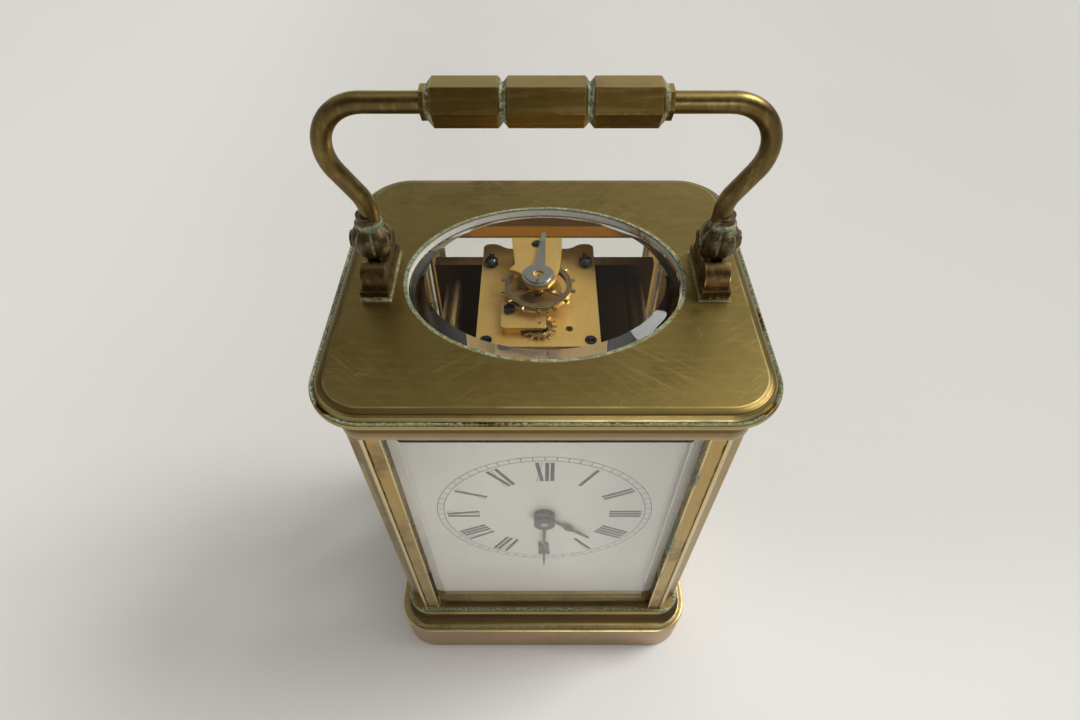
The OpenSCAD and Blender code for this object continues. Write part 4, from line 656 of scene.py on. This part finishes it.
def gilt_metal(name, clean, shade, gloss, flank_shade=None):
    material, tree = start_material(name)
    spot = place(tree)
    cloud = use(tree, "tarnish_clouds", Vector=spot, Size=110.0, Cover=0.35)
    line = use(tree, "rubbing_lines", Vector=spot, Stretch=(1400.0, 260.0, 260.0), Wander=0.001)
    worn = use(tree, "edge_wear", Vector=spot, Radius=0.0002, Amount=0.8)["Worn"]
    colour = blend_colour(tree, cloud["Clouds"], clean, shade)
    grain = times(tree, between(tree, line["Lines"], 0.4, 0.7), 0.25)
    colour = blend_colour(tree, grain, colour, (0.86, 0.66, 0.32))
    colour = blend_colour(tree, times(tree, worn, 0.6), colour, (0.95, 0.78, 0.45))
    # Painted shade: faces other than the top and the back plate's rear face take the dark side
    # colour.
    if flank_shade:
        rear_face = climb(tree, axes(tree, spot)[1], 18.6, 18.75)
        colour = blend_colour(tree, larger(tree, facing_up(tree), rear_face), flank_shade, colour)
    rough = plus(tree, gloss, times(tree, cloud["Mottle"], 0.14))
    return bare_metal(material, tree, colour, rough, cloud["Mottle"], 0.1)


def turned_metal(name, centre, upright, clean, shade, gloss):
    material, tree = start_material(name)
    spot = place(tree, shift=tuple(-value * MM for value in centre))
    along, deep, up = axes(tree, spot)
    radius = distance(tree, along, deep if upright else up)
    rings = put(tree, "TexNoise", {"W": times(tree, radius, 5200.0), "Scale": 1.0, "Detail": 2.0},
                noise_dimensions="1D").outputs[0]
    cloud = use(tree, "tarnish_clouds", Vector=spot, Size=150.0, Cover=0.4)
    worn = use(tree, "edge_wear", Vector=spot, Radius=0.00015, Amount=0.7)["Worn"]
    colour = blend_colour(tree, cloud["Clouds"], clean, shade)
    colour = blend_colour(tree, times(tree, rings, 0.25), colour, (0.80, 0.64, 0.34))
    colour = blend_colour(tree, times(tree, worn, 0.6), colour, (0.92, 0.76, 0.42))
    rough = plus(tree, gloss, times(tree, rings, 0.15))
    return bare_metal(material, tree, colour, rough, rings)


gilt = gilt_metal("gilt_platform", (0.85, 0.545, 0.16), (0.70, 0.435, 0.12), 0.37)
# The plates' dark side colour is painted shade.
inner_gilt = gilt_metal("gilt_plates", (0.62, 0.42, 0.15), (0.48, 0.31, 0.10), 0.36,
                        flank_shade=(0.065, 0.032, 0.008))
# The movement pillars' very dark amber is painted shade.
amber_brass_in_shade = turned_metal("brass_movement_pillars_shaded", (0, 0, 0), False, (0.13, 0.062, 0.014),
                           (0.065, 0.031, 0.008), 0.34)
balance_brass = turned_metal("brass_balance", (-1.3, 4.2, 104.1), True, (0.37, 0.29, 0.14),
                             (0.22, 0.165, 0.075), 0.2)
escape_brass = turned_metal("brass_escape_wheel", (-1.1, -4.65, 101.5), True, (0.50, 0.37, 0.15),
                            (0.30, 0.2, 0.08), 0.2)
train_brass = turned_metal("brass_train_wheels", (0, 0, HUB_HEIGHT), False, (0.34, 0.235, 0.09),
                           (0.20, 0.13, 0.05), 0.24)
barrel_brass = turned_metal("brass_barrel", (-4, 0, 47.46), False, (0.36, 0.25, 0.095),
                            (0.21, 0.14, 0.055), 0.24)
print("movement brasses mixed")

# %% [markdown]
# ## Steel, grey and blued
# The regulator, the arbors and the lever are bare steel, brushed and a little dull. The
# screws and hands were heated until they turned blue-black, and then oiled: a dark metal
# with a soft sheen, and paler where the slot and the rim are rubbed.

# %% Steels
def steel_metal(name, clean, shade, bright, gloss, wear_radius=0.00015):
    material, tree = start_material(name)
    spot = place(tree)
    cloud = use(tree, "tarnish_clouds", Vector=spot, Size=260.0, Cover=0.45)
    line = use(tree, "rubbing_lines", Vector=spot, Stretch=(1900.0, 300.0, 1900.0),
               Wander=0.001)["Lines"]
    worn = use(tree, "edge_wear", Vector=spot, Radius=wear_radius, Amount=0.8)["Worn"]
    colour = blend_colour(tree, cloud["Clouds"], clean, shade)
    colour = blend_colour(tree, times(tree, line, 0.35), colour, bright)
    colour = blend_colour(tree, worn, colour, bright)
    return bare_metal(material, tree, colour, plus(tree, gloss, times(tree, line, 0.16)), line)


grey_steel = steel_metal("steel_grey", (0.42, 0.41, 0.355), (0.29, 0.28, 0.235),
                         (0.60, 0.58, 0.52), 0.27)
blued_steel = steel_metal("steel_blued", (0.035, 0.037, 0.05), (0.05, 0.04, 0.035),
                          (0.20, 0.19, 0.19), 0.2)
hand_steel = steel_metal("steel_hands", (0.03, 0.03, 0.034), (0.05, 0.045, 0.04),
                         (0.42, 0.41, 0.39), 0.3, wear_radius=0.0004)
print("steels mixed")

# %% [markdown]
# ## Dial enamel and its print
# The dial is a plate of fired white enamel: smooth, very slightly warm, with a faint grey
# bloom where damp has got under the glass. The numerals are printed in black that has
# faded to a soft grey, so the ink is mixed with a little noise and no shine of its own.

# %% Enamel and ink
enamel, tree = start_material("dial_enamel")
spot = place(tree)
bloom = use(tree, "tarnish_clouds", Vector=spot, Size=38.0, Cover=0.42)
along, deep, up = axes(tree, spot)
from_hub = distance(tree, along, minus(tree, up, HUB_HEIGHT * MM))
# Darker round the hub.
darker_round_hub = times(tree, minus(tree, 1.0, climb(tree, from_hub, 2.2, 4.4)), 0.3)
colour = blend_colour(tree, times(tree, bloom["Clouds"], 0.5), (0.74, 0.70, 0.64),
                      (0.62, 0.585, 0.53))
colour = blend_colour(tree, darker_round_hub, colour, (0.30, 0.28, 0.25))
# Painted shade: the dial is painted greyer towards the right and at the upper left.
upper_left_shade = times(tree, climb(tree, along, -8, -26), climb(tree, up, 68, 90))
dial_shade = larger(tree, climb(tree, along, 4, 24), upper_left_shade)
colour = blend_colour(tree, times(tree, dial_shade, 0.65), colour, (0.53, 0.51, 0.465))
rough = plus(tree, 0.14, times(tree, bloom["Mottle"], 0.1))
ripple = put(tree, "Bump", {"Strength": 0.12, "Distance": 0.00005, "Height": bloom["Mottle"]})
body = put(tree, "BsdfPrincipled", {"Base Color": colour, "Roughness": rough,
                                    "Normal": ripple.outputs[0]})
close_material(tree, body.outputs[0])

ink, tree = start_material("dial_ink")
faded = put(tree, "TexNoise", {"Vector": place(tree), "Scale": 900.0, "Detail": 3.0}).outputs[0]
colour = blend_colour(tree, between(tree, faded, 0.35, 0.7), (0.045, 0.045, 0.046),
                      (0.10, 0.10, 0.10))
rough = plus(tree, 0.4, times(tree, faded, 0.2))
body = put(tree, "BsdfPrincipled", {"Base Color": colour, "Roughness": rough})
close_material(tree, body.outputs[0])
print("dial finishes mixed")

# %% [markdown]
# ## Old glass
# The panes are thick, with ground bevels, and slightly smeared on the inside. Light from a
# lamp would stop at real glass here, so a Light Path node lets shadow rays pass straight
# through. The smear is only a change of roughness and tint, so the glass stays clear. The
# flat of the oval glass mirrors little, for old polish dulls it, but its bevel still shines.

# %% Glass
BEVEL_SHINE = (0.62, 0.62, 0.60)


def old_glass(name, tint, smear_tint, flat_shine=None):
    material, tree = start_material(name)
    spot = place(tree)
    smear = use(tree, "tarnish_clouds", Vector=spot, Size=45.0, Cover=0.4)
    streak = use(tree, "rubbing_lines", Vector=spot, Stretch=(500.0, 500.0, 60.0), Wander=0.004)
    film = times(tree, smear["Clouds"], between(tree, streak["Lines"], 0.4, 0.7))
    colour = blend_colour(tree, film, tint, smear_tint)
    shine = (1, 1, 1, 1)
    if flat_shine:
        shine = blend_colour(tree, facing_up(tree, 0.965, 0.99), BEVEL_SHINE, flat_shine)
    body = put(tree, "BsdfPrincipled", {
        "Base Color": colour, "Roughness": times(tree, film, 0.05), "IOR": 1.5, "Metallic": 0.0,
        "Transmission Weight": 1.0, "Specular Tint": shine})
    through = put(tree, "BsdfTransparent", {"Color": (0.94, 0.96, 0.95, 1)})
    path = put(tree, "LightPath")
    pick = put(tree, "MixShader", {0: path.outputs["Is Shadow Ray"], 1: body.outputs[0],
                                   2: through.outputs[0]})
    close_material(tree, pick.outputs[0])
    return material


pane_glass = old_glass("glass_panes", (0.965, 0.97, 0.955), (0.91, 0.91, 0.885))
oval_glass = old_glass("glass_oval", (0.97, 0.985, 0.98), (0.93, 0.95, 0.94), (0.27, 0.24, 0.19))
print("glass mixed")

# %% [markdown]
# ## Dress the frame
# Every part gets its finish from one table. A part that is not named there takes the
# finish of its material slot, so nothing can be left bare by mistake.

# %% Assign the finishes
own_finish = {
    "top_cornice": top_brass, "base_plinth": base_brass, "handle_grip": grip_brass,
    "handle_rod_left": rod_brass, "handle_rod_right": rod_brass, "handle_pins": knuckle_brass,
    "handle_knuckle_left": knuckle_brass, "handle_knuckle_right": knuckle_brass,
    "front_plate": inner_gilt, "back_plate": inner_gilt, "movement_pillars": amber_brass_in_shade,
    "hour_hand": hand_steel, "minute_hand": hand_steel,
    "handle_foot_left": lug_brass, "handle_foot_right": lug_brass, "door_knob": door_brass,
    "rear_door_frame": door_brass, "balance_wheel": balance_brass, "escape_wheel": escape_brass,
    "barrel_drum": barrel_brass, "barrel_cap": barrel_brass, "top_glass": oval_glass,
}
slot_finish = {
    "case_brass": pillar_brass, "gilt_brass": gilt, "wheel_brass": train_brass,
    "steel": grey_steel, "blued_steel": blued_steel, "enamel": enamel, "clear_glass": pane_glass,
}
for piece in frame["record"]["subparts"]:
    part = parts[piece["node"]]
    part.data.materials.clear()
    part.data.materials.append(own_finish.get(piece["node"], slot_finish[piece["material_slot"]]))

# %% [markdown]
# ## Printing the dial
# The Roman numerals stand on the inner circle with their feet towards the middle, as on
# every old clock, and four is written with four strokes. A numeral is only a few strokes,
# so each is built from planes: a thick stroke, a thin stroke and a hairline serif. One
# numeral is laid flat at the top of the dial and then turned to its hour.

# %% Modelling helpers
def start_fresh():
    if bpy.context.object and bpy.context.object.mode != "OBJECT":
        bpy.ops.object.mode_set(mode="OBJECT")
    bpy.ops.object.select_all(action="DESELECT")


def apply_transforms():
    bpy.ops.object.transform_apply(location=True, rotation=True, scale=True)


def join_pieces(pieces, name):
    start_fresh()
    for piece in pieces:
        piece.select_set(True)
    bpy.context.view_layer.objects.active = pieces[0]
    bpy.ops.object.join()
    apply_transforms()
    bpy.context.object.name = name
    return bpy.context.object


def finish_piece(piece, material, body):
    piece.data.materials.clear()
    piece.data.materials.append(material)
    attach(piece, body)
    print(piece.name, len(piece.data.polygons), "faces")


# %% Strokes of a numeral
NUMERAL_IN, NUMERAL_OUT = 14.3 * MM, 21.25 * MM
THICK, THIN, SERIF = 0.77 * MM, 0.11 * MM, 0.07 * MM
STROKE_INSET, SERIF_INSET = 0.45 * MM, 0.3 * MM
GLYPH_WIDTH = {"I": 1.07 * MM, "V": 1.95 * MM, "X": 1.95 * MM}


def stroke(foot_x, head_x, width, low=NUMERAL_IN, high=NUMERAL_OUT):
    start_fresh()
    lean = math.atan2(head_x - foot_x, high - low)
    bpy.ops.mesh.primitive_plane_add(size=1, location=((foot_x + head_x) / 2, (low + high) / 2, 0))
    plane = bpy.context.object
    plane.scale = (width, (high - low) / math.cos(lean), 1)
    plane.rotation_euler = (0, 0, -lean)
    apply_transforms()
    return plane


def draw_glyph(letter, left):
    width = GLYPH_WIDTH[letter]
    middle, right = left + width / 2, left + width
    if letter == "I":
        return [stroke(middle, middle, THICK)]
    left, right = left + STROKE_INSET, right - STROKE_INSET
    if letter == "V":
        return [stroke(middle, left, THICK), stroke(middle, right, THIN)]
    return [stroke(right, left, THICK), stroke(left, right, THIN)]


def draw_numeral(text, hour):
    width = sum(GLYPH_WIDTH[letter] for letter in text)
    left, strokes = -width / 2, []
    for letter in text:
        strokes += draw_glyph(letter, left)
        left += GLYPH_WIDTH[letter]
    for edge in (NUMERAL_IN, NUMERAL_OUT):
        strokes.append(stroke(0, 0, width - SERIF_INSET, edge - SERIF / 2, edge + SERIF / 2))
    numeral = join_pieces(strokes, "numeral")
    numeral.rotation_euler = (0, 0, -math.radians(30 * hour))
    apply_transforms()
    return numeral


print("strokes ready")

# %% Print all twelve hours
HOURS = ["I", "II", "III", "IIII", "V", "VI", "VII", "VIII", "IX", "X", "XI", "XII"]
PRINT_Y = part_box("dial")[0].y - 0.02 * MM


def stand_on_dial(piece):
    piece.rotation_euler = (math.radians(90), 0, 0)
    piece.location = (0, PRINT_Y, HUB_HEIGHT * MM)
    start_fresh()
    piece.select_set(True)
    bpy.context.view_layer.objects.active = piece
    apply_transforms()


numerals = join_pieces([draw_numeral(text, hour) for hour, text in enumerate(HOURS, 1)],
                       "dial_numerals")
stand_on_dial(numerals)
finish_piece(numerals, ink, "case")

# %% [markdown]
# **The minute track** is two hairline circles with sixty strokes between them. The circles
# are drawn as rings, by extruding an edge loop and growing it. The strokes are one plane
# that is spun round the middle with copies left behind.

# %% Draw the minute track
TRACK_IN, TRACK_OUT, TRACK_LINE = 21.9 * MM, 23.3 * MM, 0.16 * MM
MINUTES = 60


def hairline_ring(radius, width):
    start_fresh()
    bpy.ops.mesh.primitive_circle_add(vertices=144, radius=radius, fill_type="NOTHING")
    bpy.ops.object.mode_set(mode="EDIT")
    bpy.ops.mesh.select_all(action="SELECT")
    bpy.ops.mesh.extrude_edges_move()
    grow = (radius + width) / radius
    bpy.ops.transform.resize(value=(grow, grow, 1))
    bpy.ops.object.mode_set(mode="OBJECT")
    return bpy.context.object


start_fresh()
bpy.ops.mesh.primitive_plane_add(size=1, location=(0, (TRACK_IN + TRACK_OUT) / 2, 0))
ticks = bpy.context.object
ticks.scale = (TRACK_LINE, TRACK_OUT - TRACK_IN, 1)
apply_transforms()
bpy.ops.object.mode_set(mode="EDIT")
bpy.ops.mesh.select_all(action="SELECT")
bpy.ops.mesh.spin(steps=MINUTES - 1, dupli=True, angle=math.radians(360 - 360 / MINUTES),
                  center=(0, 0, 0), axis=(0, 0, 1))
bpy.ops.object.mode_set(mode="OBJECT")
rings = [hairline_ring(radius, TRACK_LINE) for radius in (TRACK_IN, TRACK_OUT)]
track = join_pieces([ticks] + rings, "minute_track")
stand_on_dial(track)
finish_piece(track, ink, "case")

# %% [markdown]
# ## The hairspring
# The balance is driven back and forth by a flat coil of blued ribbon, thinner than a hair
# and wound in many turns. A path is drawn as a spiral of even pitch, and the curve's own
# bevel gives it the ribbon's height. It stands in the place of the plainer coil.

# %% Wind the hairspring
STAFF_X, STAFF_Y = -1.3 * MM, 4.2 * MM
TURNS, PER_TURN = 11, 28
SPRING_IN, SPRING_OUT = 1.1 * MM, 4.65 * MM
END_ANGLE = 139.0
RIBBON_HALF = 0.045 * MM
low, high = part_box("hairspring")
spring_z = (low.z + high.z) / 2
start_fresh()
bpy.ops.curve.primitive_nurbs_path_add(location=(0, 0, 0))
coil = bpy.context.object
coil.data.splines.clear()
ribbon = coil.data.splines.new("POLY")
steps = TURNS * PER_TURN
ribbon.points.add(steps)
for step in range(steps + 1):
    share = step / steps
    radius = SPRING_IN + (SPRING_OUT - SPRING_IN) * share
    angle = math.radians(END_ANGLE - 360 * TURNS * (1 - share))
    ribbon.points[step].co = (STAFF_X + radius * math.cos(angle),
                              STAFF_Y + radius * math.sin(angle), spring_z, 1)
coil.data.dimensions = "3D"
coil.data.bevel_depth = RIBBON_HALF
coil.data.bevel_resolution = 1
coil.data.use_fill_caps = True
bpy.ops.object.convert(target="MESH")
coil = bpy.context.object
coil.name = "hairspring_coil"
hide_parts("hairspring")
finish_piece(coil, blued_steel, "case")

# %% [markdown]
# ## The table and the light
# The clock stands on a white table near a window. The table's colour carries painted light:
# it is painted paler in front and at the left, greyer at the right as painted shade, and dark
# far in front as a painted shadow. A broad lamp above and to the right stands for the window,
# and a weaker one in front fills the dial.

# %% Table
TABLE_SIZE, TABLE_GAP = 6, 0.02 * MM
start_fresh()
bpy.ops.mesh.primitive_plane_add(size=TABLE_SIZE, location=(0, 0, -TABLE_GAP))
table = bpy.context.object
table.name = "table"
table_white, tree = start_material("table_white")
spot = place(tree)
mottled = put(tree, "TexNoise", {"Vector": spot, "Scale": 14.0, "Detail": 3.0}).outputs[0]
along, deep = axes(tree, spot)[:2]
# Painted light: the table is painted paler in front and far at the left.
lit_front, lit_far_left = climb(tree, deep, 20.0, -50.0), climb(tree, along, -60.0, -260.0)
colour = blend_colour(tree, mottled, (0.735, 0.715, 0.67), (0.77, 0.75, 0.705))
colour = blend_colour(tree, larger(tree, lit_front, lit_far_left), colour, (0.87, 0.855, 0.815))
# Painted shade: greyer towards the right.
colour = blend_colour(tree, climb(tree, along, 70.0, 320.0), colour, (0.67, 0.65, 0.61))
# Painted shadow: dark far in front of the clock.
colour = blend_colour(tree, between(tree, deep, -0.45, -1.6), colour, (0.52, 0.51, 0.48))
rough = plus(tree, 0.58, times(tree, mottled, 0.15))
body = put(tree, "BsdfPrincipled", {"Base Color": colour, "Roughness": rough})
close_material(tree, body.outputs[0])
table.data.materials.append(table_white)
table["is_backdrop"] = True
print("table ready")

# %% Lamps
def soft_lamp(name, location, aim, size, watts):
    data = bpy.data.lights.new(name, "AREA")
    data.shape = "DISK"
    data.size = size
    data.energy = watts
    lamp = bpy.data.objects.new(name, data)
    lamp.location = location
    direction = [aim[axis] - location[axis] for axis in range(3)]
    flat_length = math.hypot(direction[0], direction[1])
    lamp.rotation_euler = (math.atan2(flat_length, -direction[2]), 0,
                           math.atan2(direction[1], direction[0]) - math.pi / 2)
    bpy.context.scene.collection.objects.link(lamp)
    print(name, watts, "W")


soft_lamp("window_lamp", (3.0, 0.9, 3.2), (0, 0, 0.05), 2.2, 128.0)
soft_lamp("front_fill", (0.5, -2.4, 0.7), (0, 0, 0.06), 0.9, 9.5)

# %% [markdown]
# **The room** is written as one brightness by direction. It is the sum of a pale ceiling,
# a low glow behind the lens, a pale wall behind the clock and one at the left. The ceiling
# gets darker towards the back, which gives the top plate its fall from gold to brown. The
# room is darkest where the photographer stood, which every slope that faces the lens
# reflects, and it slants from dim left to bright right. The lens itself sees only a plain
# pale backdrop.

# %% Room
world = bpy.data.worlds.new("pale_room")
bpy.context.scene.world = world
world.use_nodes = True
tree = world.node_tree
tree.nodes.clear()
where = put(tree, "TexCoord")
right, back, up = axes(tree, where.outputs["Generated"])
ceiling = times(tree, between(tree, up, 0.35, 0.95), between(tree, back, 0.9, -0.2))
level = plus(tree, 0.14, times(tree, ceiling, 0.75))
dark_patch = times(tree, between(tree, back, -0.15, -0.45), between(tree, up, 0.2, 0.4))
dark_patch = times(tree, dark_patch, between(tree, up, 0.97, 0.85))
level = times(tree, level, minus(tree, 1.0, times(tree, dark_patch, 0.85)))
low_glow = times(tree, between(tree, up, 0.32, 0.12), between(tree, back, -0.3, -0.7))
level = plus(tree, level, times(tree, low_glow, 0.45))
far_wall = times(tree, between(tree, up, 0.52, 0.42), between(tree, back, 0.5, 0.8))
level = plus(tree, level, times(tree, far_wall, 0.5))
slant = minus(tree, between(tree, right, -0.35, 0.35), 0.5)
slant = times(tree, slant, plus(tree, 0.25, between(tree, up, 0.58, 0.72)))
level = times(tree, level, plus(tree, 1.02, slant))
level = plus(tree, level, times(tree, between(tree, right, -0.5, -0.85), 0.25))
room = blend_colour(tree, level, (0.02, 0.02, 0.02), (1.0, 0.99, 0.97))
path = put(tree, "LightPath")
seen = blend_colour(tree, path.outputs["Is Camera Ray"], room, (0.69, 0.67, 0.625))
glow = put(tree, "Background", {0: seen, 1: 1.0})
world_out = tree.nodes.new("ShaderNodeOutputWorld")
tree.links.new(glow.outputs[0], world_out.inputs["Surface"])
bpy.context.scene.view_settings.view_transform = "Standard"
print("room ready")

# %% [markdown]
# ## Measure the dressed clock
# The box of the dressed clock is measured, and its size is printed. Nothing that was added
# stands out past the metal.

# %% Measure and finish
dressed_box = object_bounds()
spans = [(dressed_box[1][axis] - dressed_box[0][axis]) / MM for axis in range(3)]
print("size:", [round(span, 2) for span in spans], "mm")
